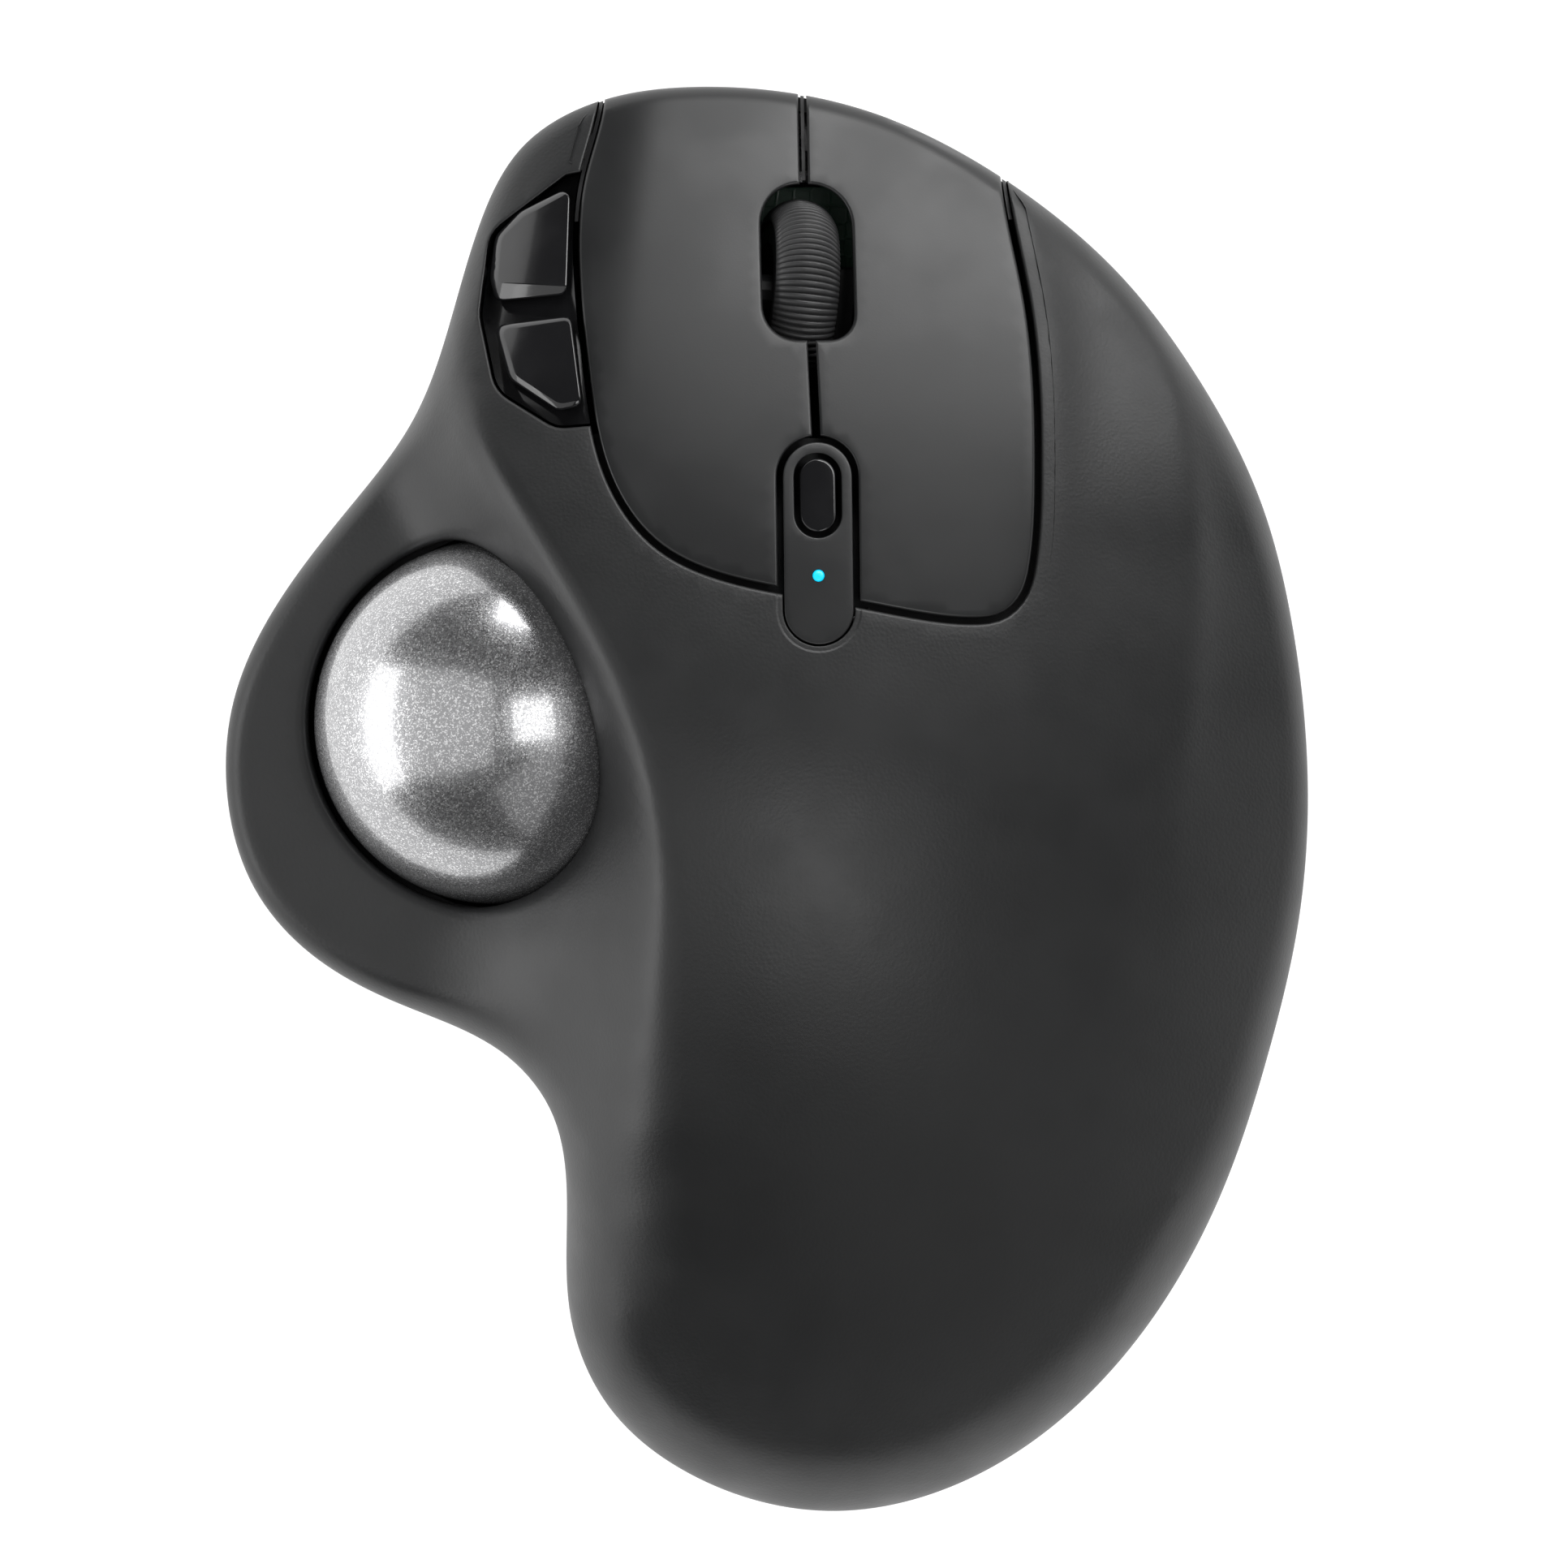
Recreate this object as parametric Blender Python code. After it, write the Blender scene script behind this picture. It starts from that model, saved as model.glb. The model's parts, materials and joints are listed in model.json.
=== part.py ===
"""Thumb-operated trackball mouse, modelled as the pieces it comes apart into.

Frame: +Z up, +Y towards the front (cable-port end), +X to the right, origin on the desk under the
middle of the plan box.  Every size below is in millimetres; meshes are scaled to metres at the end.
The outer skin is one height function, body_height(x, y), built from a hump, a thumb wall, a ball
deck and two finger steps.  Every cover is a region of the plan under that skin.
"""

import math

import bmesh
import bpy
import numpy as np
from mathutils import Matrix, Vector
from mathutils.geometry import delaunay_2d_cdt

MM = 0.001

# ---------------------------------------------------------------- driving dimensions (mm)
BALL_CENTRE = (-25.1, 7.2, 22.3)
BALL_RADIUS = 17.0
RIM_GAP = 0.8
WHEEL_CENTRE = (2.3, 46.2, 17.2)
WHEEL_RADIUS = 9.7
WHEEL_WIDTH = 6.0
WHEEL_CROWN = 1.7
WHEEL_LEAN, WHEEL_YAW = math.radians(10.0), math.radians(-6.0)

SHELL_WALL = 2.4
SHELL_SKIN = 2.0
INNER_CORNER = 4.0
COVER_SKIN = 1.4
PARTING_Z = 2.7
CHIN_TOP = 8.4
SKIRT_INSET = 1.2
BASE_BOTTOM, BASE_TOP = 0.9, 2.4
FOOT_TOP = 1.2
GAP = 0.3
COVER_GAP = 0.3
PRESS_SKIRT_Z = 9.6
APRON_ROWS = (1.5, 2.1)
STEM_HALF, STEM_HOLE = (1.8, 1.3), (2.4, 2.9)
FRAME_WINDOW = ((-7.5, 33.5), (11.8, 58.5), 2.0)

BOARD_BOTTOM, BOARD_TOP = 5.0, 6.6
BOARD_CORNERS = [
    (-17.0, 38.0), (-17.0, 56.0), (-9.0, 60.5), (7.0, 60.3), (18.0, 54.5), (29.0, 45.0),
    (34.0, 36.0), (34.0, 2.0), (-1.0, 2.0), (-1.0, 25.0), (-14.0, 30.0),
]
SCREW_PLACES = [(-26.0, 29.6), (39.0, 22.0), (38.0, -20.0), (-6.0, -46.0)]
PILLAR_BOTTOM, PILLAR_RADIUS = 5.6, 3.0
PORT_CENTRE = (0.0, 61.2, 5.2)
PORT_WIDTH, PORT_HEIGHT, PORT_DEPTH = 8.9, 3.2, 7.2
PUSH_HOLE_RADIUS = 6.0
PRESS_AXIS = (24.0, 34.0)
SWITCH_PLACES = [(-11.4, 51.0), (15.5, 44.0)]
SWITCH_SIZE = (5.8, 12.8, 6.5)
FEET = [(-1.0, 56.5, 13.0, 3.2), (-40.5, 1.5, 7.5, 3.4), (40.5, 3.0, 8.5, 3.2), (8.0, -56.0, 12.0, 3.0)]
BATTERY = ((0.0, -40.0, 5.2), (30.0, -2.0, 13.0))
SLIDER_PLACE, CHANNEL_PLACE = (10.0, 33.0), (26.0, 40.0)
PLUNGER_RISE = 0.7
WHEEL_SWITCH = (7.4, 47.5)
CARRIER_PIVOT = (0.0, -15.0, -2.4)
DPI_STEM, DPI_SWITCH_DROP = (4.72, 28.2), 11.2
SIDE_MIDDLE = (-21.5, 46.5)
SIDE_STEMS = [(-21.8, 51.2), (-20.9, 40.4)]
CUP_LEAN, CUP_RIM_ANGLE = math.radians(20.0), -4.0
BEARING_RADIUS, BEARING_REACH, BEARING_DROP = 1.25, 18.6, 38.0
BEARING_TURNS = [100.0, 220.0, 310.0]
SENSOR_DIRECTION = (0.866, 0.1, -0.5)

FINISHES = {
    "shell": ((0.030, 0.031, 0.033), 0.0, 0.55),
    "satin": ((0.028, 0.029, 0.031), 0.0, 0.40),
    "gloss": ((0.010, 0.010, 0.011), 0.0, 0.12),
    "black": ((0.012, 0.012, 0.013), 0.0, 0.50),
    "rubber": ((0.018, 0.018, 0.018), 0.0, 0.75),
    "ball": ((0.42, 0.43, 0.45), 0.55, 0.22),
    "clear": ((0.35, 0.75, 0.85), 0.0, 0.10),
    "board": ((0.02, 0.13, 0.06), 0.0, 0.45),
    "chip": ((0.02, 0.02, 0.022), 0.0, 0.40),
    "metal": ((0.62, 0.62, 0.63), 1.0, 0.25),
    "steel": ((0.55, 0.55, 0.56), 1.0, 0.30),
    "white": ((0.75, 0.75, 0.72), 0.0, 0.40),
    "red": ((0.55, 0.05, 0.05), 0.0, 0.35),
    "foil": ((0.35, 0.36, 0.38), 0.2, 0.45),
    "lens": ((0.30, 0.05, 0.05), 0.0, 0.08),
}
PLAN_STEP = 4.5
FILL_STEP = 7.0

# ---------------------------------------------------------------- plan curves (mm)
OUTLINE_POINTS = [
    (-6.5, 66.4), (-15.5, 65.1), (-22.8, 60.8), (-26.9, 53.2), (-29.1, 45.8), (-32.9, 35.4),
    (-38.6, 27.5), (-45.4, 18.5), (-49.6, 9.4), (-50.3, 0.8), (-47.5, -8.7), (-42.1, -14.7),
    (-33.6, -19.3), (-24.3, -23.8), (-20.0, -29.1), (-18.6, -36.6), (-18.3, -47.9),
    (-14.4, -57.0), (-7.0, -63.0), (6.4, -66.4), (19.7, -63.0), (28.4, -57.0), (36.3, -47.9),
    (42.7, -35.9), (46.7, -23.8), (49.5, -11.7), (50.4, 1.9), (49.1, 15.5), (46.1, 27.6),
    (40.0, 39.6), (33.1, 48.7), (22.1, 57.8), (10.4, 63.8),
]
CLICK_POINTS = [
    (-14.6, 75.0), (-15.4, 65.2), (-17.2, 57.8), (-17.7, 49.3), (-16.7, 39.2), (-15.1, 31.0),
    (-13.0, 26.7), (-10.0, 23.4), (-6.0, 21.2), (0.8, 19.4), (8.7, 18.0), (14.0, 17.0),
    (19.0, 16.5), (21.9, 17.0), (23.7, 18.7), (24.7, 21.9), (25.2, 30.0), (25.0, 39.3),
    (24.2, 46.5), (22.1, 57.7), (18.0, 75.0),
]
POCKET_CORNERS = [
    (-14.5, 58.6, 0.5), (-18.6, 57.9, 1.0), (-25.6, 52.6, 3.0), (-26.5, 45.0, 4.0),
    (-25.0, 38.0, 3.0), (-19.5, 34.6, 2.5), (-14.5, 35.0, 0.5),
]
FORWARD_CORNERS = [
    (-18.3, 57.0, 0.7), (-23.0, 54.7, 2.0), (-25.3, 52.4, 1.5), (-25.8, 48.5, 2.0),
    (-25.2, 46.3, 0.7), (-18.6, 46.9, 0.7),
]
BACK_CORNERS = [
    (-18.2, 44.9, 0.7), (-25.4, 44.0, 0.8), (-23.9, 39.0, 1.5), (-19.3, 36.0, 1.2),
    (-17.1, 36.5, 0.7),
]
THUMB_WALL_POINTS = [
    (-38.0, 75.0), (-32.6, 56.0), (-30.0, 46.0), (-28.6, 39.0), (-27.2, 33.6), (-23.0, 26.0),
    (-17.4, 17.0), (-13.2, 7.9), (-10.8, -1.0), (-9.9, -11.0), (-10.3, -19.0), (-11.7, -31.3),
    (-13.4, -40.4), (-18.5, -51.0), (-30.0, -62.0),
]
RING_STEP_POINTS = [
    (22.8, 62.0), (24.0, 56.0), (25.5, 49.2), (26.7, 41.5), (27.1, 29.8), (27.1, 18.0),
    (26.8, 4.0),
]
LITTLE_STEP_POINTS = [
    (20.0, 58.5), (28.1, 53.2), (31.7, 49.6), (34.6, 45.9), (37.0, 41.4), (38.5, 36.4),
    (39.4, 31.0), (39.9, 25.6), (40.1, 21.0), (39.7, 12.0), (38.6, 3.0), (36.5, -8.0),
]
CENTRE_LINE_POINTS = [(4.8, 16.0), (4.6, 33.6), (4.15, 42.7), (3.45, 57.1), (3.1, 75.0)]
WHEEL_SLOT_CORNERS = [(-0.7, 57.2, 3.6), (7.8, 57.2, 4.0), (8.2, 42.6, 2.3), (-0.3, 42.6, 3.3)]
ISLAND = ((4.7, 29.9), (4.85, 17.5), 3.5)
DPI_WELL = ((4.7, 29.9), (4.75, 26.4), 2.2)
DPI_CAP = ((4.7, 29.9), (4.75, 26.4), 1.65)
STATUS_LIGHT = (4.8, 20.7, 0.55)

# ---------------------------------------------------------------- height profiles (mm)
HUMP_HEIGHT = [
    (-75.0, 13.0), (-66.0, 20.0), (-58.0, 26.3), (-48.0, 33.5), (-35.0, 40.7), (-20.0, 45.4),
    (-8.0, 46.6), (4.0, 45.7), (18.0, 41.75), (32.0, 35.5), (44.0, 28.8), (55.0, 21.9),
    (62.0, 17.2), (70.0, 11.5),
]
HUMP_LINE = [
    (-70.0, 3.0), (-45.0, 1.0), (-20.0, -4.0), (0.0, -7.0), (20.0, -12.0), (45.0, -12.0),
    (70.0, -9.0),
]
FALL_RIGHT = [
    (-70.0, 0.0112), (-40.0, 0.0107), (-15.0, 0.0098), (0.0, 0.0086), (18.0, 0.0063),
    (32.0, 0.0050), (46.0, 0.0044), (60.0, 0.0042),
]
FALL_LEFT = [(-70.0, 0.012), (-20.0, 0.004), (10.0, 0.004), (30.0, 0.010), (45.0, 0.022), (66.0, 0.028)]
WALL_SLOPE = [(-45.0, 1.6), (-30.0, 1.3), (-15.0, 1.35), (2.0, 2.4), (30.0, 2.2)]
WALL_FILLET = [(-40.0, 12.0), (-12.0, 12.0), (7.0, 9.0), (30.0, 11.0), (45.0, 8.0)]
CREST_FILLET = [(-46.0, 12.0), (-38.0, 8.0), (-30.0, 5.0), (-16.0, 2.6), (20.0, 2.4)]
RING_STEP_DEPTH = [(-5.0, 0.0), (10.0, 0.1), (25.0, 0.9), (45.0, 2.2), (60.0, 2.4)]
LITTLE_STEP_DEPTH = [(-14.0, 0.0), (-4.0, 0.2), (8.0, 1.0), (25.0, 2.3), (45.0, 2.2), (58.0, 1.2)]
STEP_REACH = 3.4
STEP_ROUNDING = 0.35
EDGE_WIDTH = [(-66.0, 6.0), (-45.0, 4.5), (-25.0, 2.6), (0.0, 1.5), (40.0, 2.2), (66.0, 1.2)]
EDGE_DROP = [(-66.0, 8.5), (-45.0, 6.5), (-25.0, 4.0), (0.0, 2.2), (40.0, 4.5), (66.0, 1.4)]


# ---------------------------------------------------------------- curve helpers
def spline(knots):
    """Natural cubic spline through (t, value) knots, straight beyond its ends."""
    t, v = np.array(list(knots), float).T
    h = np.diff(t)
    count = len(t)
    system = np.eye(count)
    right = np.zeros(count)
    for i in range(1, count - 1):
        system[i, i - 1 : i + 2] = h[i - 1], 2 * (h[i - 1] + h[i]), h[i]
        right[i] = 6 * ((v[i + 1] - v[i]) / h[i] - (v[i] - v[i - 1]) / h[i - 1])
    bend = np.linalg.solve(system, right)
    first = (v[1] - v[0]) / h[0] - bend[1] * h[0] / 6
    last = (v[-1] - v[-2]) / h[-1] + bend[-2] * h[-1] / 6

    def value(q):
        q = np.asarray(q, float)
        s = np.clip(q, t[0], t[-1])
        i = np.clip(np.searchsorted(t, s) - 1, 0, count - 2)
        a, b = t[i + 1] - s, s - t[i]
        inner = (bend[i] * a**3 + bend[i + 1] * b**3) / (6 * h[i])
        inner += (v[i] / h[i] - bend[i] * h[i] / 6) * a
        inner += (v[i + 1] / h[i] - bend[i + 1] * h[i] / 6) * b
        return inner + np.minimum(q - t[0], 0) * first + np.maximum(q - t[-1], 0) * last

    return value


def blend_curve(knots):
    """Values at knots joined by smooth steps, level beyond the ends: it never overshoots."""
    t, v = np.array(knots, float).T

    def value(q):
        s = np.clip(np.asarray(q, float), t[0], t[-1])
        i = np.clip(np.searchsorted(t, s) - 1, 0, len(t) - 2)
        u = (s - t[i]) / (t[i + 1] - t[i])
        return v[i] + (v[i + 1] - v[i]) * u * u * (3 - 2 * u)

    return value


def spaced(points, step, closed):
    """The polyline's points again, at equal spacing close to step."""
    p = np.asarray(points, float)
    if closed:
        p = np.vstack([p, p[:1]])
    along = np.concatenate([[0], np.cumsum(np.hypot(*np.diff(p, axis=0).T))])
    count = max(3, round(along[-1] / step))
    at = np.linspace(0, along[-1], count + 1)
    if closed:
        at = at[:-1]
    return np.column_stack([np.interp(at, along, p[:, 0]), np.interp(at, along, p[:, 1])])


def smooth_line(points, step, closed=False):
    """A smooth curve through the points, as a polyline."""
    p = np.asarray(points, float)
    wrap = 4 if closed else 0
    if closed:
        p = np.vstack([p[-wrap:], p, p[: wrap + 1]])
    t = np.concatenate([[0], np.cumsum(np.hypot(*np.diff(p, axis=0).T))])
    across, along = spline(zip(t, p[:, 0])), spline(zip(t, p[:, 1]))
    fine = np.linspace(t[wrap], t[len(t) - 1 - wrap], 1500, endpoint=not closed)
    return spaced(np.column_stack([across(fine), along(fine)]), step, closed)


def rounded_polygon(corners, step):
    """A polygon whose corners (x, y, radius) are arcs."""
    path = []
    count = len(corners)
    for i, (x, y, radius) in enumerate(corners):
        here = np.array((x, y))
        before = np.array(corners[i - 1][:2]) - here
        after = np.array(corners[(i + 1) % count][:2]) - here
        before /= np.linalg.norm(before)
        after /= np.linalg.norm(after)
        half = math.acos(np.clip(before @ after, -1, 1)) / 2
        centre = here + (before + after) / np.linalg.norm(before + after) * radius / math.sin(half)
        reach = radius / math.tan(half)
        start, end = here + before * reach - centre, here + after * reach - centre
        sweep = math.atan2(start[0] * end[1] - start[1] * end[0], start @ end)
        pieces = max(2, round(abs(sweep) * radius / step) + 1)
        for k in range(pieces + 1):
            turn = sweep * k / pieces
            c, s = math.cos(turn), math.sin(turn)
            path.append(centre + (c * start[0] - s * start[1], s * start[0] + c * start[1]))
    return spaced(path, step, True)


def capsule(ends, step):
    """A slot shape: two end centres and a radius."""
    (ax, ay), (bx, by), radius = ends
    heading = math.atan2(by - ay, bx - ax)
    arc = np.linspace(-math.pi / 2, math.pi / 2, 24)
    first = [(bx + radius * math.cos(heading + t), by + radius * math.sin(heading + t)) for t in arc]
    second = [(ax - radius * math.cos(heading + t), ay - radius * math.sin(heading + t)) for t in arc]
    return spaced(first + second, step, True)


def circle(x, y, radius, count=16):
    turn = np.arange(count) * 2 * math.pi / count
    return np.column_stack([x + radius * np.cos(turn), y + radius * np.sin(turn)])


class Line:
    """A polyline in plan.  A closed one runs anticlockwise and its distance is positive inside;
    an open one's distance is positive on its left."""

    def __init__(self, points, closed=True):
        p = np.asarray(points, float)
        if closed:
            x, y = p.T
            if (x * np.roll(y, -1) - y * np.roll(x, -1)).sum() < 0:
                p = p[::-1]
        self.points, self.closed = p, closed
        self.start = p if closed else p[:-1]
        self.reach = (np.roll(p, -1, axis=0) if closed else p[1:]) - self.start

    def nearest(self, q):
        """(signed distance, unit vector inward) of each point."""
        q = np.asarray(q, float).reshape(-1, 2)
        distance, inward = np.empty(len(q)), np.empty((len(q), 2))
        length2 = (self.reach**2).sum(1)
        normal = np.column_stack([-self.reach[:, 1], self.reach[:, 0]]) / np.sqrt(length2)[:, None]
        for k in range(0, len(q), 2000):
            part = q[k : k + 2000]
            offset = part[:, None, :] - self.start[None]
            along = np.clip((offset * self.reach).sum(2) / length2, 0, 1)
            gap = offset - along[..., None] * self.reach
            size = (gap**2).sum(2)
            best = size.argmin(1)
            rows = np.arange(len(part))
            distance[k : k + 2000] = np.sqrt(size[rows, best])
            inward[k : k + 2000] = normal[best]
            if not self.closed:
                side = (gap[rows, best] * normal[best]).sum(1)
                distance[k : k + 2000] *= np.where(side < 0, -1, 1)
        if self.closed:
            distance *= np.where(self.contains(q), 1, -1)
        return distance, inward

    def distance(self, q):
        return self.nearest(q)[0]

    def contains(self, q):
        x, y = q[:, :1], q[:, 1:]
        x0, y0 = self.start.T
        x1, y1 = (self.start + self.reach).T
        crosses = (y0 > y) != (y1 > y)
        rise = np.where(y1 == y0, 1.0, y1 - y0)
        return (crosses & (x < x0 + (y - y0) * (x1 - x0) / rise)).sum(1) % 2 == 1

    def moved(self, inward):
        """The line moved inwards by a small distance."""
        if inward == 0:
            return self.points
        step = self.reach / np.linalg.norm(self.reach, axis=1)[:, None]
        if self.closed:
            before, after = np.roll(step, 1, axis=0), step
        else:
            before, after = np.vstack([step[:1], step]), np.vstack([step, step[-1:]])
        middle = before + after
        middle /= np.linalg.norm(middle, axis=1)[:, None]
        stretch = np.maximum((middle * after).sum(1), 0.6)
        normal = np.column_stack([-middle[:, 1], middle[:, 0]])
        return self.points + normal * (inward / stretch)[:, None]


# ---------------------------------------------------------------- the outer skin
def smooth_min(a, b, size):
    share = np.maximum(size - np.abs(a - b), 0) / size
    return np.minimum(a, b) - share * share * size / 4


def smooth_max(a, b, size):
    return -smooth_min(-a, -b, size)


class Skin:
    """The height of the outer surface over the plan, in millimetres."""

    def __init__(self, step):
        self.outline = Line(smooth_line(OUTLINE_POINTS, step, closed=True))
        self.thumb_wall = Line(smooth_line(THUMB_WALL_POINTS, 2.0), closed=False)
        self.ring_step = Line(smooth_line(RING_STEP_POINTS, 1.5), closed=False)
        self.little_step = Line(smooth_line(LITTLE_STEP_POINTS, 1.5), closed=False)
        self.hump, self.hump_line = spline(HUMP_HEIGHT), spline(HUMP_LINE)
        self.fall_right, self.fall_left = spline(FALL_RIGHT), spline(FALL_LEFT)
        self.wall_fillet, self.wall_slope = blend_curve(WALL_FILLET), blend_curve(WALL_SLOPE)
        self.crest_fillet = blend_curve(CREST_FILLET)
        self.ring_depth, self.little_depth = blend_curve(RING_STEP_DEPTH), blend_curve(LITTLE_STEP_DEPTH)
        self.edge_width, self.edge_drop = blend_curve(EDGE_WIDTH), blend_curve(EDGE_DROP)

    def top(self, x, y):
        """The hump alone."""
        across = x - self.hump_line(y)
        fall = np.where(across > 0, self.fall_right(y), self.fall_left(y))
        return self.hump(y) - fall * across**2

    def step_down(self, line, depth, q):
        """How far a finger step lowers the skin to the right of its edge."""
        past = line.distance(q)
        past = (past + np.sqrt(past**2 + STEP_ROUNDING**2)) / 2
        return depth * (1 - np.exp(-past / STEP_REACH))

    def deck(self, x, y):
        """The deck around the ball."""
        front, rear = np.maximum(y - 4.0, 0), np.maximum(-17.0 - y, 0)
        return 19.0 + 0.30 * (x + 50.0) - 0.0045 * front**2 - 0.12 * rear**2 + 0.02 * np.minimum(y, 0)

    def height(self, q):
        q = np.asarray(q, float).reshape(-1, 2)
        x, y = q.T
        z = self.top(x, y)
        z = z - self.step_down(self.ring_step, self.ring_depth(y), q)
        z = z - self.step_down(self.little_step, self.little_depth(y), q)
        wall = self.top(x, y) + self.wall_slope(y) * self.thumb_wall.distance(q)
        z = smooth_min(z, smooth_max(wall, self.deck(x, y), self.wall_fillet(y)), self.crest_fillet(y))
        inside = self.outline.distance(q)
        width, drop = self.edge_width(y), self.edge_drop(y)
        share = np.clip(1 - inside / width, 0, 1)
        return z - drop * (1 - np.sqrt(1 - share**2))

    def steepness(self, q, reach=0.2):
        """Length of the surface per length of plan."""
        dx, dy = np.array((reach, 0.0)), np.array((0.0, reach))
        gx = (self.height(q + dx) - self.height(q - dx)) / (2 * reach)
        gy = (self.height(q + dy) - self.height(q - dy)) / (2 * reach)
        return np.sqrt(1 + gx**2 + gy**2)


# ---------------------------------------------------------------- solids (millimetres)
def triangulate(borders, inside, step, guides=()):
    """Plan points and anticlockwise triangles of a region, with rows of points along the guides."""
    points, edges = [], []
    for line in borders:
        first = len(points)
        points += [tuple(p) for p in line.points]
        last = len(points) - 1
        edges += [(i, i + 1) for i in range(first, last)]
        if line.closed:
            edges.append((last, first))
    low, high = borders[0].points.min(0), borders[0].points.max(0)
    rows = np.arange(low[1], high[1], step * math.sqrt(3) / 2)
    columns = np.arange(low[0], high[0], step)
    grid = np.array([(x + step / 2 * (i % 2), y) for i, y in enumerate(rows) for x in columns])
    extra = [np.empty((0, 2))] + [np.asarray(guide, float) for guide in guides]
    extra = np.vstack(extra)
    if len(extra):
        clear = np.ones(len(grid), bool)
        for p in extra:
            clear &= np.hypot(*(grid - p).T) > 0.6 * step
        grid = np.vstack([extra, grid[clear]])
    keep = inside(grid)
    for line in borders:
        keep &= np.abs(line.distance(grid)) > 0.35 * step
    points += [tuple(p) for p in grid[keep]]
    plan, _, faces, *_ = delaunay_2d_cdt([Vector(p) for p in points], edges, [], 0, 0.01)
    plan = np.array([p[:] for p in plan])
    faces = np.array(faces)
    faces = faces[inside(plan[faces].mean(1))]
    used, index = np.unique(faces, return_inverse=True)
    return plan[used], index.reshape(-1, 3)


def slab(plan, faces, top, bottom, foot=None):
    """A closed solid between two height lists over one triangulated plan."""
    foot = plan if foot is None else foot
    bm = bmesh.new()
    upper = [bm.verts.new((x, y, z)) for (x, y), z in zip(plan, top)]
    lower = [bm.verts.new((x, y, z)) for (x, y), z in zip(foot, bottom)]
    sides = set()
    for a, b, c in faces:
        bm.faces.new((upper[a], upper[b], upper[c]))
        bm.faces.new((lower[c], lower[b], lower[a]))
        sides |= {(a, b), (b, c), (c, a)}
    for a, b in sorted(sides):
        if (b, a) not in sides:
            bm.faces.new((upper[b], upper[a], lower[a], lower[b]))
    return bm


def prism(points, low, high, taper=0.0):
    """A plan polygon pulled up from low to high, its lower end moved inwards by the taper."""
    line = Line(points)
    bm = bmesh.new()
    bottom = [bm.verts.new((x, y, low)) for x, y in line.moved(taper)]
    top = [bm.verts.new((x, y, high)) for x, y in line.points]
    bm.faces.new(top)
    bm.faces.new(bottom[::-1])
    for i in range(len(top)):
        j = (i + 1) % len(top)
        bm.faces.new((bottom[i], bottom[j], top[j], top[i]))
    return bm


def block(low, high):
    """An upright box between two corners."""
    (x0, y0, z0), (x1, y1, z1) = low, high
    return prism([(x0, y0), (x1, y0), (x1, y1), (x0, y1)], z0, z1)


def cylinder(x, y, radius, low, high, count=14):
    return prism(circle(x, y, radius, count), low, high)


def lathe(profile, count=24):
    """A closed profile of (radius, height) turned about Z.  A ring profile gives a ring."""
    bm = bmesh.new()
    rings = []
    for radius, z in profile:
        if radius < 1e-6:
            rings.append([bm.verts.new((0, 0, z))] * count)
        else:
            turn = np.arange(count) * 2 * math.pi / count
            rings.append([bm.verts.new((radius * math.cos(t), radius * math.sin(t), z)) for t in turn])
    closed_ring = min(radius for radius, _ in profile) > 1e-6
    for i in range(len(rings) if closed_ring else len(rings) - 1):
        low, high = rings[i], rings[(i + 1) % len(rings)]
        for k in range(count):
            corners = (low[k], low[(k + 1) % count], high[(k + 1) % count], high[k])
            corners = tuple(dict.fromkeys(corners))
            if len(corners) > 2:
                bm.faces.new(corners)
    bmesh.ops.recalc_face_normals(bm, faces=bm.faces)
    return bm


def sphere(centre, radius, across=16, around=24):
    bm = bmesh.new()
    bmesh.ops.create_uvsphere(bm, u_segments=around, v_segments=across, radius=radius)
    return moved_by(bm, Matrix.Translation(centre))


def moved_by(bm, matrix):
    bmesh.ops.transform(bm, matrix=matrix, verts=bm.verts)
    return bm


def facing(centre, direction, spin_from=(0, 1, 0)):
    """A frame at centre whose Z is the direction and whose Y is as near spin_from as it can be."""
    z = Vector(direction).normalized()
    x = Vector(spin_from).cross(z).normalized()
    y = z.cross(x)
    matrix = Matrix((x, y, z)).transposed().to_4x4()
    return Matrix.Translation(centre) @ matrix


def combined(base, steps):
    """The base solid after a list of ("UNION" or "DIFFERENCE", solid) steps."""
    main = mesh_object("work", base)
    tools = []
    for operation, solid in steps:
        tool = mesh_object("tool", solid)
        tool.hide_render = True
        tool.display_type = "WIRE"
        modifier = main.modifiers.new(operation, "BOOLEAN")
        modifier.operation = operation
        modifier.solver = "EXACT"
        modifier.object = tool
        tools.append(tool)
    bpy.context.view_layer.update()
    result = bmesh.new()
    result.from_object(main, bpy.context.evaluated_depsgraph_get())
    for thing in [main, *tools]:
        bpy.data.objects.remove(thing)
    bmesh.ops.dissolve_degenerate(result, dist=0.002, edges=result.edges)
    return result


def mesh_object(name, bm):
    bmesh.ops.recalc_face_normals(bm, faces=bm.faces)
    mesh = bpy.data.meshes.new(name)
    bm.to_mesh(mesh)
    bm.free()
    thing = bpy.data.objects.new(name, mesh)
    bpy.context.scene.collection.objects.link(thing)
    return thing


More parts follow.
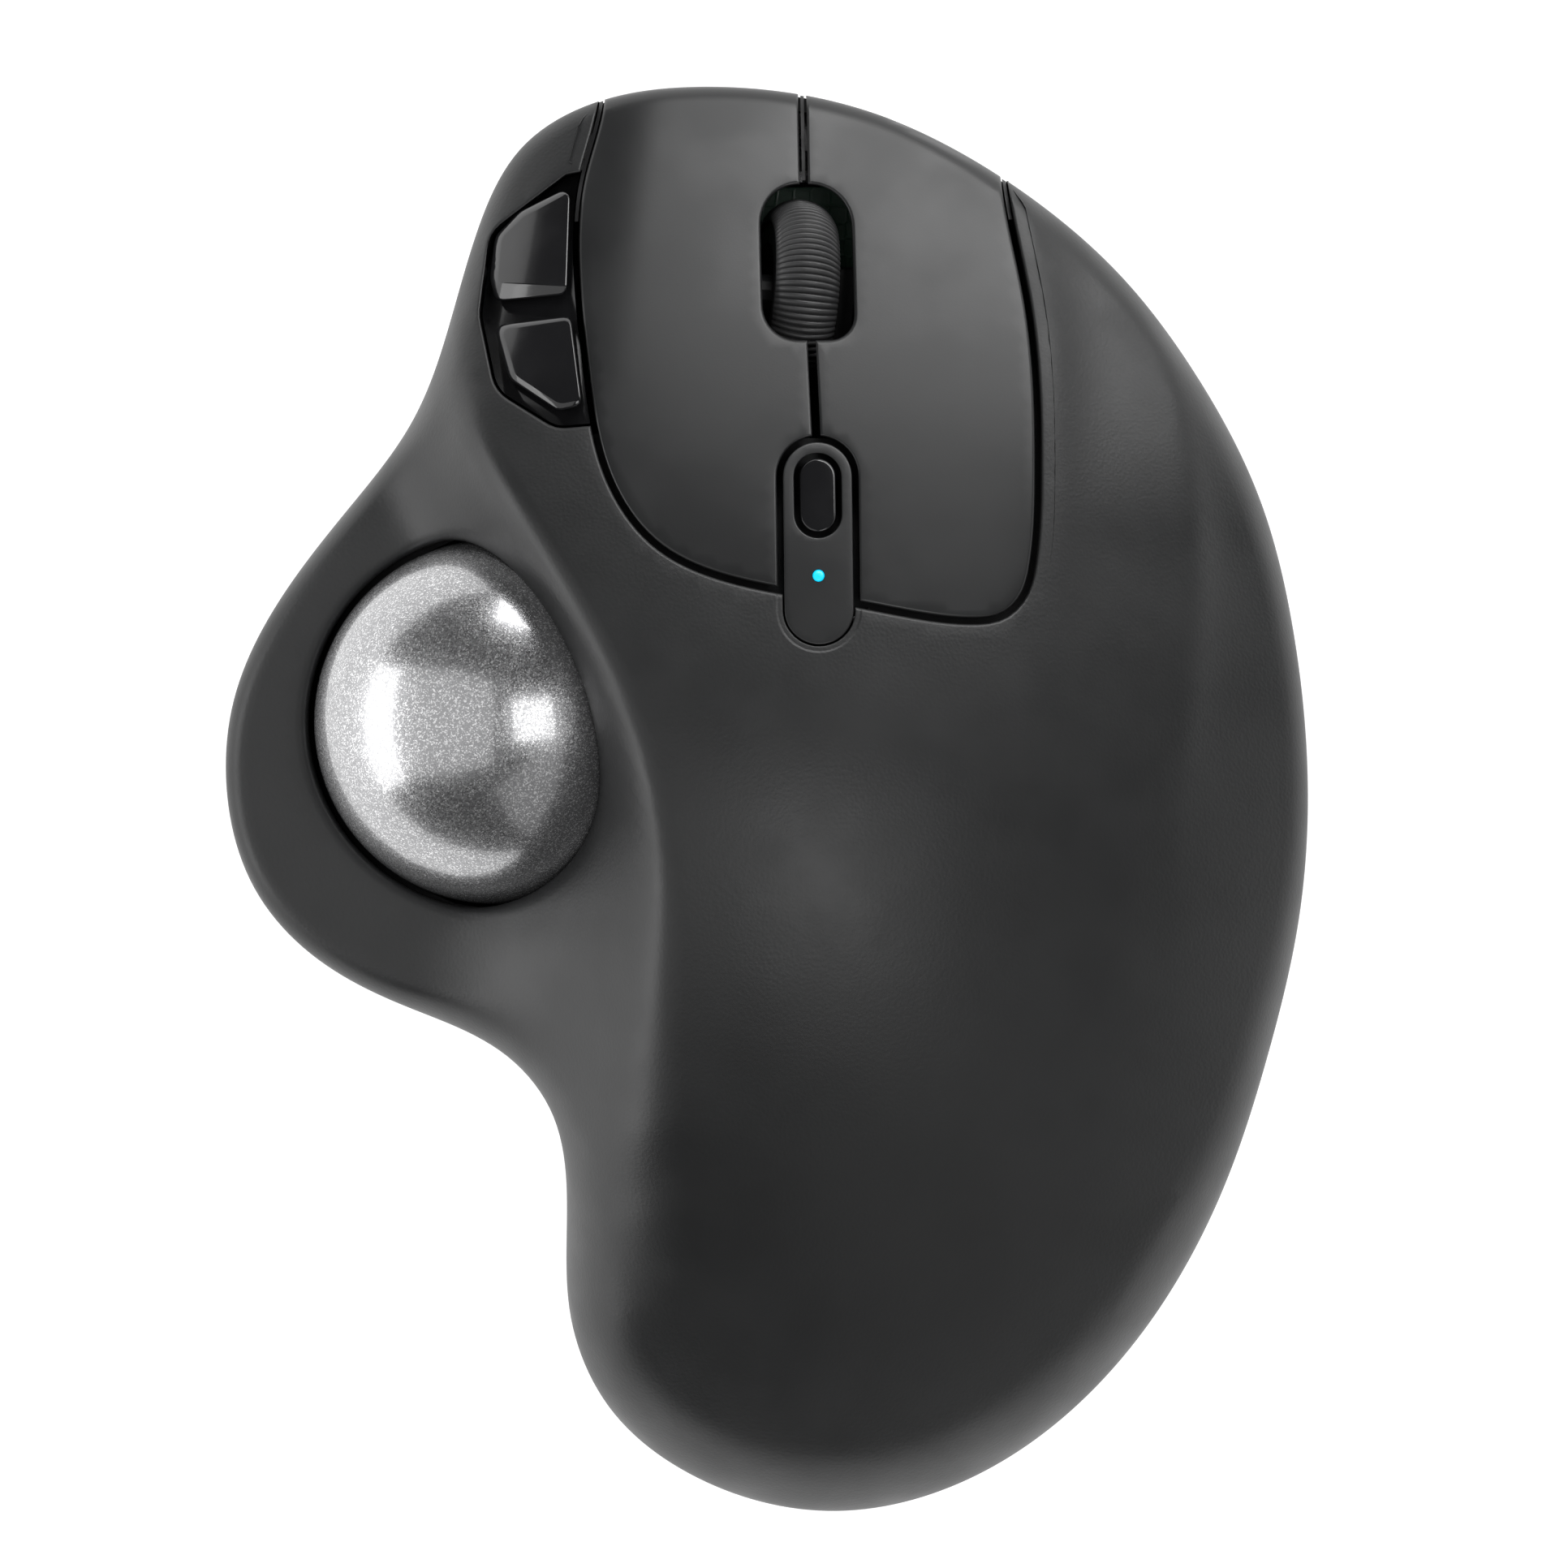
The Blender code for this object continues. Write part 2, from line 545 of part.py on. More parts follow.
def piece(name, bm, finish, pivot=(0, 0, 0)):
    """A finished sub-part: metres, its own material, its origin on the pivot."""
    bmesh.ops.translate(bm, vec=-Vector(pivot), verts=bm.verts)
    bmesh.ops.scale(bm, vec=(MM, MM, MM), verts=bm.verts)
    thing = mesh_object(name, bm)
    thing.location = Vector(pivot) * MM
    colour, metallic, roughness = FINISHES[finish]
    material = bpy.data.materials.new(name + "_" + finish)
    material.use_nodes = True
    shader = material.node_tree.nodes["Principled BSDF"]
    shader.inputs["Base Color"].default_value = (*colour, 1.0)
    shader.inputs["Metallic"].default_value = metallic
    shader.inputs["Roughness"].default_value = roughness
    thing.data.materials.append(material)
    thing.data.shade_smooth()
    thing.data.set_sharp_from_angle(angle=math.radians(35))
    return thing


# ---------------------------------------------------------------- plan regions shared by the covers
class Plan:
    """The cover borders over one skin."""

    def __init__(self, skin, step):
        self.skin = skin
        self.outline = skin.outline
        self.click = Line(smooth_line(CLICK_POINTS, step, closed=True))
        self.pocket = Line(rounded_polygon(POCKET_CORNERS, step))
        self.centre = Line(CENTRE_LINE_POINTS, closed=False)
        self.slot = Line(rounded_polygon(WHEEL_SLOT_CORNERS, 1.6))
        self.island = Line(capsule(ISLAND, 2.6))

    def cover(self, rules, thickness, step, lift=0.0, rows=()):
        """A sheet under the skin.  Each rule is (line, side, margin): side is 1 to stay inside the
        line and -1 to stay outside it.  Each row is a line that triangle edges follow."""
        borders = [(Line(line.moved(side * margin), line.closed), side) for line, side, margin in rules]

        def inside(q):
            return np.min([side * line.distance(q) for line, side in borders], axis=0) > 0

        plan, faces = triangulate([*(line for line, _ in borders), *rows], inside, step)
        steep = np.minimum(self.skin.steepness(plan), 2.0)
        top = self.skin.height(plan) + lift * steep
        return plan, faces, top, top - thickness * steep


def within(line, points):
    """Those of the points well inside a closed line."""
    points = np.asarray(points)
    return points[line.distance(points) > 1.5]


# ---------------------------------------------------------------- the covers
def top_shell(plan):
    """Outer skin and skirt, hollowed, with its openings and its four screw pillars."""
    skin, outline = plan.skin, plan.outline
    guides = [within(outline, spaced(line.moved(shift), 4.5, False)) for line, shift in (
        (skin.thumb_wall, -4.0), (skin.thumb_wall, 2.5), (skin.thumb_wall, 10.0),
        (skin.ring_step, 0.0), (skin.little_step, 0.0), (skin.little_step, -3.0))]
    rims = [Line(outline.moved(inset)) for inset in (1.5, 5.0)]
    flat, faces = triangulate([outline, *rims], outline.contains, FILL_STEP, guides)
    skirt, inward = outline.nearest(flat)
    edge = skirt < 1e-3
    foot = flat + inward * np.where(edge, SKIRT_INSET, 0)[:, None]
    outer = slab(flat, faces, skin.height(flat), np.full(len(flat), PARTING_Z), foot)

    inner_line = Line(outline.moved(SHELL_WALL))
    flat, faces = triangulate([inner_line, rims[1]], inner_line.contains, FILL_STEP, guides)
    steep = np.minimum(skin.steepness(flat), 2.2)
    _, inward = inner_line.nearest(flat)
    depth = inner_line.distance(flat)
    foot = flat + inward * np.where(depth < 1e-3, SKIRT_INSET, 0)[:, None]
    corner = INNER_CORNER * np.clip(1 - depth / INNER_CORNER, 0, 1) ** 2
    ceiling = skin.height(flat) - SHELL_SKIN * steep - corner
    inner = slab(flat, faces, ceiling, np.full(len(flat), PARTING_Z - 1.0), foot)

    steps = [("DIFFERENCE", inner)]
    for x, y in SCREW_PLACES:
        z = lowest(skin, circle(x, y, PILLAR_RADIUS, 10)) - 0.6
        steps.append(("UNION", cylinder(x, y, PILLAR_RADIUS, PILLAR_BOTTOM, z, 10)))
        steps.append(("DIFFERENCE", cylinder(x, y, 1.5, PILLAR_BOTTOM - 1, PILLAR_BOTTOM + 8.0, 8)))
    steps += [
        ("DIFFERENCE", prism(plan.click.moved(-COVER_GAP), CHIN_TOP, 70.0)),
        ("DIFFERENCE", prism(plan.pocket.moved(-COVER_GAP), 12.0, 70.0)),
        ("DIFFERENCE", prism(plan.island.moved(-COVER_GAP), 12.0, 70.0)),
        ("DIFFERENCE", sphere(BALL_CENTRE, BALL_RADIUS + RIM_GAP)),
        ("DIFFERENCE", port_block(0.4, 50.0, 80.0)),
    ]
    return combined(outer, steps)


def lowest(skin, places):
    return float(skin.height(places).min())


def port_block(grow, start, end):
    """The charging port's outline, grown, pulled along Y between two stations."""
    x, _, z = PORT_CENTRE
    w, h = PORT_WIDTH / 2 + grow, PORT_HEIGHT / 2 + grow
    corner = 0.8 * h
    outline = rounded_polygon([(-w, -h, corner), (w, -h, corner), (w, h, corner), (-w, h, corner)], 1.2)
    upright = facing((x, start, z), (0, 1, 0), (0, 0, 1))
    return moved_by(prism(outline, 0, end - start), upright)


def click_button(plan, side, stem):
    """One click cover: a sheet that turns down over the front, with a stem above its switch."""
    skin = plan.skin
    gap = 0.35
    rules = [(plan.click, 1, COVER_GAP), (skin.outline, 1, 0.0), (plan.centre, side, gap),
             (plan.slot, -1, 0.0), (plan.island, -1, COVER_GAP)]
    rows = [Line(skin.outline.moved(inset)) for inset in APRON_ROWS]
    flat, faces, top, bottom = plan.cover(rules, COVER_SKIN, FILL_STEP, rows=rows)
    front = skin.outline.distance(flat) < APRON_ROWS[0] + 0.1
    bottom = np.where(front, PRESS_SKIRT_Z, bottom)
    x, y = stem
    half_x, half_y = STEM_HALF
    under = lowest(skin, [(x - half_x, y + half_y), (x + half_x, y + half_y)]) - 0.3
    low = BOARD_TOP + GAP + SWITCH_SIZE[2] + PLUNGER_RISE + GAP
    post = block((x - half_x, y - half_y, low), (x + half_x, y + half_y, under))
    return combined(slab(flat, faces, top, bottom), [("UNION", post)])


def inner_frame(plan):
    """The black deck under the click covers, open over the wheel and the stems."""
    skin = plan.skin
    (west, south), (east, north), corner = FRAME_WINDOW
    hole = [(west, south, corner), (east, south, corner), (east, north, corner), (west, north, corner)]
    setback, depth, wall = 5.0, 3.4, 1.4
    rules = [(plan.click, 1, -0.8), (skin.outline, 1, setback), (Line(rounded_polygon(hole, 4.0)), -1, 0.0),
             (plan.pocket, -1, 1.0)]
    flat, faces, top, bottom = plan.cover(rules, wall, FILL_STEP + 1, lift=-depth)
    steps = []
    half_x, half_y = STEM_HOLE
    for x, y in SWITCH_PLACES:
        steps.append(("DIFFERENCE", block((x - half_x, y - half_y, 8.0), (x + half_x, y + half_y, 40.0))))
    x, y = DPI_STEM
    steps.append(("DIFFERENCE", cylinder(x, y, 1.8, 20.0, 50.0, 10)))
    return combined(slab(flat, faces, top, bottom), steps)


def island_plate(plan):
    """The narrow plate behind the wheel, with the speed button's well and the light's hole."""
    rules = [(plan.island, 1, COVER_GAP), (Line(capsule(DPI_WELL, 2.0)), -1, 0.0),
             (Line(circle(*STATUS_LIGHT[:2], 0.9, 10)), -1, 0.0)]
    return slab(*plan.cover(rules, 1.9, FILL_STEP))


def dpi_button(plan):
    cap = Line(capsule(DPI_CAP, 1.8))
    flat, faces, top, bottom = plan.cover([(cap, 1, 0.0)], 2.3, 3.0, lift=0.35)
    x, y = DPI_STEM
    z = float(plan.skin.height([DPI_STEM])[0])
    return combined(slab(flat, faces, top, bottom), [("UNION", cylinder(x, y, 1.0, z - 7.0, z - 1.0, 8))])


def side_bezel(plan):
    """The gloss tray round the two side buttons, with a hole for each stem."""
    rules = [(plan.pocket, 1, 0.0), (plan.click, -1, COVER_GAP)]
    tray = slab(*plan.cover(rules, 1.2, FILL_STEP, lift=-2.2))
    return combined(tray, [("DIFFERENCE", side_stem(plan, place, 1.5, -9.0, 3.0)) for place in SIDE_STEMS])


def side_stem(plan, place, radius, low, high):
    matrix = side_frame(plan, place)
    return moved_by(cylinder(0, 0, radius, low, high, 10), matrix)


def side_frame(plan, place):
    """A frame on the skin at a place, its Z along the side buttons' shared press line."""
    z = float(plan.skin.height([place])[0])
    return facing((*place, z), side_normal(plan))


def side_normal(plan):
    return skin_normal(plan.skin, *SIDE_MIDDLE, 4.0)


def skin_normal(skin, x, y, reach):
    west, east, south, north = skin.height([(x - reach, y), (x + reach, y), (x, y - reach), (x, y + reach)])
    return Vector((float(west - east), float(south - north), 2 * reach)).normalized()


def side_button(plan, corners, place):
    cap = Line(rounded_polygon(corners, 1.6))
    flat, faces, top, bottom = plan.cover([(cap, 1, 0.0)], 1.9, 3.5, lift=0.5)
    return combined(slab(flat, faces, top, bottom), [("UNION", side_stem(plan, place, 1.1, -4.6, -0.6))])


# ---------------------------------------------------------------- wheel group
def wheel_frame():
    """A frame at the wheel's centre whose X is the axle."""
    turn = Matrix.Rotation(WHEEL_YAW, 4, "Z") @ Matrix.Rotation(WHEEL_LEAN, 4, "Y")
    return Matrix.Translation(WHEEL_CENTRE) @ turn


def on_axle(bm, along=0.0):
    """Turns a lathe from the Z axis onto the wheel's axle."""
    place = wheel_frame() @ Matrix.Translation((along, 0, 0))
    return moved_by(bm, place @ Matrix.Rotation(math.pi / 2, 4, "Y"))


def wheel_tyre():
    """The rubber tread, crowned in an arc across its width."""
    h, core = WHEEL_WIDTH / 2, WHEEL_RADIUS - 2.2
    arc = (h**2 + WHEEL_CROWN**2) / (2 * WHEEL_CROWN)
    profile = [(core, -h)]
    for share in (-1.0, -0.72, -0.4, 0.0, 0.4, 0.72, 1.0):
        across = share * h
        profile.append((WHEEL_RADIUS - arc + math.sqrt(arc**2 - across**2), across))
    profile.append((core, h))
    return on_axle(lathe(profile, 32))


def wheel_hub():
    """Rim, disc and the axle's two ends, turned as one piece."""
    h, rim = WHEEL_WIDTH / 2 - 0.2, WHEEL_RADIUS - 2.6
    inner, web, boss, boss_half = rim - 1.6, 1.0, 2.4, 3.3
    pin, left_end, right_end = 1.1, 9.2, 6.2
    profile = [(0, -left_end), (pin, -left_end), (pin, -boss_half), (boss, -boss_half), (boss, -web),
               (inner, -web), (inner, -h), (rim, -h), (rim, h), (inner, h), (inner, web), (boss, web),
               (boss, boss_half), (pin, boss_half), (pin, right_end), (0, right_end)]
    return on_axle(lathe(profile, 16))


def wheel_carrier():
    """The cradle whose two arms hold the axle, rocking on its rear pivot."""
    outside = block((-5.4, -17.0, -4.2), (5.4, 3.6, 2.4))
    room = block((-3.9, -12.8, -9.0), (3.9, 9.0, 9.0))
    axle = on_axle(cylinder(0, 0, 1.5, -12, 12, 12))
    above = block((-9.0, -20.0, -0.6), (9.0, -4.0, 5.0))
    cradle = combined(outside, [("DIFFERENCE", room), ("DIFFERENCE", above)])
    return combined(moved_by(cradle, wheel_frame()), [("DIFFERENCE", axle)])


def wheel_encoder():
    body = moved_by(block((-8.2, -4.6, -14.0), (-5.7, 4.6, 2.6)), wheel_frame())
    hole = on_axle(cylinder(0, 0, 1.75, -12, 0, 12))
    below = block((-20, 30, -10), (20, 60, BOARD_TOP + GAP))
    return combined(body, [("DIFFERENCE", hole), ("DIFFERENCE", below)])


# ---------------------------------------------------------------- ball group
def ball_cup():
    """The bowl under the ball, leaning with its opening, with three bearing seats, the sensor's
    window and the push-out hole."""
    inner, outer = BALL_RADIUS + 0.6, BALL_RADIUS + 1.8
    low, high = math.radians(-88), math.radians(CUP_RIM_ANGLE)
    turns = np.linspace(low, high, 7)
    profile = [(inner * math.cos(t), inner * math.sin(t)) for t in turns]
    profile += [(outer * math.cos(t), outer * math.sin(t)) for t in turns[::-1]]
    place = Matrix.Translation(BALL_CENTRE) @ Matrix.Rotation(-CUP_LEAN, 4, "Y")
    bowl = moved_by(lathe(profile, 24), place)
    x, y, z = BALL_CENTRE
    steps = []
    for direction in bearing_directions():
        seat = facing(BALL_CENTRE, direction)
        steps.append(("UNION", moved_by(cylinder(0, 0, 2.6, inner + 0.2, BEARING_REACH + 2.2, 12), seat)))
        steps.append(("DIFFERENCE", moved_by(cylinder(0, 0, 1.62, 12.0, BEARING_REACH + 1.6, 12), seat)))
    window = facing(BALL_CENTRE, SENSOR_DIRECTION)
    steps.append(("DIFFERENCE", moved_by(cylinder(0, 0, 3.6, 14.0, 22.0, 14), window)))
    steps.append(("DIFFERENCE", cylinder(x, y, PUSH_HOLE_RADIUS, z - 22, z - 10, 20)))
    return combined(bowl, steps)


def bearing_directions():
    drop = math.radians(BEARING_DROP)
    for turn in BEARING_TURNS:
        a = math.radians(turn)
        yield math.cos(drop) * math.cos(a), math.cos(drop) * math.sin(a), -math.sin(drop)


def bearing(direction):
    centre = Vector(BALL_CENTRE) + Vector(direction) * BEARING_REACH
    return sphere(centre, BEARING_RADIUS, 8, 12)


def at_sensor(bm):
    return moved_by(bm, facing(BALL_CENTRE, SENSOR_DIRECTION))


# ---------------------------------------------------------------- base and electronics
def pad_outline(x, y, half_long, half_wide):
    """A foot's plan: a slot shape lying along X, or along Y at the sides."""
    along = half_long - half_wide
    if abs(x) > 20:
        return capsule(((x, y - along), (x, y + along), half_wide), 3.0)
    return capsule(((x - along, y), (x + along, y), half_wide), 3.0)


def base_plate(plan):
    """The bottom cover with its screw posts, foot recesses, button slots, bay and push-out hole."""
    lip = prism(Line(plan.outline.points).moved(SKIRT_INSET + 0.2), BASE_BOTTOM, BASE_TOP, 0.5)
    steps = []
    for x, y in SCREW_PLACES:
        steps.append(("UNION", cylinder(x, y, 3.4, BASE_TOP - 0.5, PILLAR_BOTTOM - GAP, 12)))
    for place in FEET:
        recess = Line(pad_outline(*place)).moved(-GAP)
        steps.append(("DIFFERENCE", prism(recess, -1.0, FOOT_TOP + GAP)))
    for x, y in SCREW_PLACES:
        steps.append(("DIFFERENCE", cylinder(x, y, 2.7, -1.0, 3.9, 12)))
        steps.append(("DIFFERENCE", cylinder(x, y, 1.4, -1.0, 9.0, 10)))
    x, y = SLIDER_PLACE
    steps.append(("DIFFERENCE", block((x - 4.3, y - 1.8, -1), (x + 4.3, y + 1.8, 5))))
    x, y = CHANNEL_PLACE
    steps.append(("DIFFERENCE", cylinder(x, y, 2.1, -1, 5, 12)))
    x, y, _ = BALL_CENTRE
    steps.append(("DIFFERENCE", cylinder(x, y, PUSH_HOLE_RADIUS, -1, 5, 20)))
    return combined(lip, steps)


def screw():
    profile = [(0, 0), (2.2, 0), (2.2, 1.5), (1.05, 1.9), (1.05, 10.5), (0, 10.5)]
    return lathe(profile, 12)


def main_board():
    corners = [(x, y, 2.0) for x, y in BOARD_CORNERS]
    board = prism(rounded_polygon(corners, 3.0), BOARD_BOTTOM, BOARD_TOP)
    x, y, _ = PORT_CENTRE
    notch = block((x - 5.0, y - PORT_DEPTH / 2 - 0.5, 0), (x + 5.0, 70, 20))
    return combined(board, [("DIFFERENCE", notch)])


def click_switch(x, y):
    """A switch body with a well for its plunger."""
    w, d, h = SWITCH_SIZE
    low = BOARD_TOP + GAP
    body = block((x - w / 2, y - d / 2, low), (x + w / 2, y + d / 2, low + h))
    well = block((x - 1.5, y - 1.1, low + h - 2.2), (x + 1.5, y + 1.1, low + h + 3))
    return combined(body, [("DIFFERENCE", well)])


def plunger(x, y):
    low = BOARD_TOP + GAP + SWITCH_SIZE[2]
    return block((x - 1.2, y - 0.8, low - 1.3), (x + 1.2, y + 0.8, low + PLUNGER_RISE))


def tact(width, height, button):
    """A small square switch with its round key, standing on Z = 0."""
    half = width / 2
    body = block((-half, -half, 0), (half, half, height))
    return combined(body, [("UNION", cylinder(0, 0, width * 0.28, height / 2, height + button, 10))])


def port_shell():
    """The port's metal shell with its tongue's slot."""
    x, y, z = PORT_CENTRE
    back, front = y - PORT_DEPTH / 2, y + PORT_DEPTH / 2
    mouth = port_block(-0.4, back + 1.2, front + 5)
    tongue = block((x - 3.3, back + 0.6, z - 0.35), (x + 3.3, front - 1.0, z + 0.35))
    return combined(port_block(0.0, back, front), [("DIFFERENCE", mouth), ("UNION", tongue)])


def power_slider():
    x, y = SLIDER_PLACE
    knob = block((x - 2.6, y - 1.4, 0.5), (x + 0.4, y + 1.4, 3.4))
    flange = block((x - 6.2, y - 2.6, BASE_TOP + GAP), (x + 4.2, y + 2.6, 3.9))
    return combined(knob, [("UNION", flange)])


def channel_button():
    x, y = CHANNEL_PLACE
    key = cylinder(x, y, 1.7, 0.6, 3.2, 12)
    return combined(key, [("UNION", cylinder(x, y, 2.7, BASE_TOP + GAP, 3.7, 12))])


# ---------------------------------------------------------------- assembly
def build():
    for thing in list(bpy.data.objects):
        bpy.data.objects.remove(thing)
    skin = Skin(PLAN_STEP)
    plan = Plan(skin, 2.6)
    x_ball, y_ball, z_ball = BALL_CENTRE

    piece("top_shell", top_shell(plan), "shell")
    piece("base_plate", base_plate(plan), "black")
    piece("inner_frame", inner_frame(plan), "black")
    piece("left_button", click_button(plan, 1, SWITCH_PLACES[0]), "satin", (-6.0, *PRESS_AXIS))
    piece("right_button", click_button(plan, -1, SWITCH_PLACES[1]), "satin", (14.0, *PRESS_AXIS))
    piece("island_plate", island_plate(plan), "satin")
    piece("dpi_button", dpi_button(plan), "gloss", (*DPI_STEM, 33.0))
    light_x, light_y, _ = STATUS_LIGHT
    light_z = float(skin.height([(light_x, light_y)])[0])
    piece("status_light", cylinder(light_x, light_y, 0.55, light_z - 2.6, light_z - 0.1, 10), "clear")
    piece("side_bezel", side_bezel(plan), "gloss")
    for name, corners, place in (("side_button_front", FORWARD_CORNERS, SIDE_STEMS[0]),
                                 ("side_button_back", BACK_CORNERS, SIDE_STEMS[1])):
        z = float(skin.height([place])[0])
        piece(name, side_button(plan, corners, place), "gloss", (*place, z))

    piece("wheel_tyre", wheel_tyre(), "rubber", WHEEL_CENTRE)
    piece("wheel_hub", wheel_hub(), "chip", WHEEL_CENTRE)
    piece("wheel_carrier", wheel_carrier(), "black", tuple(wheel_frame() @ Vector(CARRIER_PIVOT)))
    piece("wheel_encoder", wheel_encoder(), "chip")

    piece("trackball", sphere(BALL_CENTRE, BALL_RADIUS), "ball", BALL_CENTRE)
    piece("ball_cup", ball_cup(), "black")
    for number, direction in enumerate(bearing_directions(), 1):
        piece(f"bearing_{number}", bearing(direction), "white")
    piece("sensor_lens", at_sensor(cylinder(0, 0, 3.2, 17.9, 19.4, 14)), "lens")
    piece("sensor_chip", at_sensor(block((-4.0, -4.5, 19.8), (4.0, 4.5, 21.6))), "chip")
    piece("sensor_board", at_sensor(block((-6.0, -7.5, 21.9), (6.0, 7.5, 23.1))), "board")

    piece("main_board", main_board(), "board")
    piece("controller_chip", block((18.0, 18.0, BOARD_TOP + GAP), (25.0, 25.0, BOARD_TOP + 1.3)), "chip")
    for side, (x, y) in zip(("left", "right"), SWITCH_PLACES):
        piece(f"{side}_switch", click_switch(x, y), "chip")
        piece(f"{side}_plunger", plunger(x, y), "white")
    stand = Matrix.Translation((WHEEL_SWITCH[0], WHEEL_SWITCH[1], BOARD_TOP + GAP))
    piece("wheel_switch", moved_by(tact(4.2, 3.4, 0.9), stand), "chip")
    dpi_z = float(skin.height([DPI_STEM])[0])
    stand = Matrix.Translation((*DPI_STEM, dpi_z - DPI_SWITCH_DROP))
    piece("dpi_switch", moved_by(tact(4.4, 2.6, 0.6), stand), "chip")
    for side, place in (("forward", SIDE_STEMS[0]), ("back", SIDE_STEMS[1])):
        lift = Matrix.Translation((0, 0, -9.0))
        piece(f"{side}_switch", moved_by(tact(4.2, 2.8, 0.6), side_frame(plan, place) @ lift), "chip")
    board_place = side_frame(plan, SIDE_MIDDLE)
    piece("side_board", moved_by(block((-3.6, -9.2, -10.7), (3.6, 7.2, -9.5)), board_place), "board")
    piece("charging_port", port_shell(), "metal")
    piece("battery", block(*BATTERY), "foil")

    piece("power_slider", power_slider(), "red", (*SLIDER_PLACE, 2.0))
    piece("channel_button", channel_button(), "black", (*CHANNEL_PLACE, 2.0))
    for number, place in enumerate(FEET, 1):
        piece(f"foot_{number}", prism(pad_outline(*place), 0.0, FOOT_TOP), "rubber")
    for number, (x, y) in enumerate(SCREW_PLACES, 1):
        piece(f"screw_{number}", moved_by(screw(), Matrix.Translation((x, y, 1.6))), "steel")


build()
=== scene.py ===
import json
import math

import bmesh
import bpy
import numpy as np
from mathutils import Matrix, Vector
from mathutils.geometry import delaunay_2d_cdt


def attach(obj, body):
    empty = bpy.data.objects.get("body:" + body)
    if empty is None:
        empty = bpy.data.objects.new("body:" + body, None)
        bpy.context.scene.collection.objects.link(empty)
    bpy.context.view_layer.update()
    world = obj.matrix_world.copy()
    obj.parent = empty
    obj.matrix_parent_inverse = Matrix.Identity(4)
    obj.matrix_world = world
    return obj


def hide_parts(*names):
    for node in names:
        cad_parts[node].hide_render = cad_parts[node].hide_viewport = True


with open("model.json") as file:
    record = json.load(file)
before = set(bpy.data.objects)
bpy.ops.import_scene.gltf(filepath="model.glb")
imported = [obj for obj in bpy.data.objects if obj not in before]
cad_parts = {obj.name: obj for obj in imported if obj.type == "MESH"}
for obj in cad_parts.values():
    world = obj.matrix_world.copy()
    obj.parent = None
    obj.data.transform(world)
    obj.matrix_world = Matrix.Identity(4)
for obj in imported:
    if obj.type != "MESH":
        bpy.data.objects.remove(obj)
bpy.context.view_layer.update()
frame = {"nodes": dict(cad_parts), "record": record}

# A thumb-operated trackball mouse: fine covers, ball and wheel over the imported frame.
# Shape sizes are in millimetres and are scaled to metres when a piece is made.
MM = 0.001

BALL_CENTRE = (-25.1, 7.2, 22.3)
BALL_RADIUS = 17.0
RIM_GAP, BALL_CLEARANCE = 0.8, 0.55
WHEEL_CENTRE = (2.3, 46.2, 17.2)
WHEEL_RADIUS = 9.7
WHEEL_WIDTH = 6.0
WHEEL_CROWN = 1.7
WHEEL_LEAN, WHEEL_YAW = math.radians(10.0), math.radians(-6.0)
WHEEL_RIBS, RIB_DEPTH, RIB_SAMPLES = 94, 0.3, 8

SHELL_WALL, LEAST_WALL_SHARE = 1.3, 0.08
COVER_GAP, POCKET_GAP, CENTRE_GAP = 0.3, 0.25, 0.38
EDGE_BAND = 0.7
WALL_ROOM = 1.4
PARTING_Z, CHIN_TOP, CHIN_DROP, APRON_BOTTOM = 2.7, 8.4, 0.5, 9.6
OUTLINE_NEAR, RIM_NEAR = 0.02, 0.05
CHIN_SHARES = (0.08, 0.25, 0.6, 1.0)
RIM_DEPTHS = (0.3, 1.0, 2.0, 3.2)
OPENING_DEPTHS = (0.3, 1.2, 2.6, 4.2)
PORT_MOUTH = ((-2.85, 5.2), (2.85, 5.2), 2.0)
PORT_CUT = (58.0, 75.0)
SKIRT_INSET = 1.2
COVER_SKIN, APRON_THICKNESS = 1.3, 1.55
STEEPEST = 1.6
SHELL_STEP, COVER_STEP = 1.3, 1.0
LINE_STEP, KEY_STEP = 0.9, 0.35
ISLAND_RING, ISLAND_RING_DEPTH = 0.4, 0.07
FIN_WIDTH, FIN_DEPTH, SIDE_FIN_START = 0.32, 0.9, 54.0
KEY_SLOPE, KEY_BOW, CAP_BOW = 0.75, 0.020, 0.06
COVER_SHARP, TYRE_SHARP = 50, 70

OUTLINE_POINTS = [
    (-6.5, 66.4), (-15.5, 65.1), (-22.8, 60.8), (-26.9, 53.2), (-29.1, 45.8), (-32.9, 35.4),
    (-38.6, 27.5), (-45.4, 18.5), (-49.6, 9.4), (-50.3, 0.8), (-47.5, -8.7), (-42.1, -14.7),
    (-33.6, -19.3), (-24.3, -23.8), (-20.0, -29.1), (-18.6, -36.6), (-18.3, -47.9),
    (-14.4, -57.0), (-7.0, -63.0), (6.4, -66.4), (19.7, -63.0), (28.4, -57.0), (36.3, -47.9),
    (42.7, -35.9), (46.7, -23.8), (49.5, -11.7), (50.4, 1.9), (49.1, 15.5), (46.1, 27.6),
    (40.0, 39.6), (33.1, 48.7), (22.1, 57.8), (10.4, 63.8),
]
CLICK_POINTS = [
    (-14.6, 75.0), (-15.4, 65.2), (-17.2, 57.8), (-17.7, 49.3), (-16.7, 39.2), (-15.1, 31.0),
    (-13.0, 26.7), (-10.0, 23.4), (-6.0, 21.2), (0.8, 19.4), (8.7, 18.0), (14.0, 17.0),
    (19.0, 16.5), (21.9, 17.0), (23.7, 18.7), (24.7, 21.9), (25.2, 30.0), (25.0, 39.3),
    (24.2, 46.5), (22.1, 57.7), (18.0, 75.0),
]
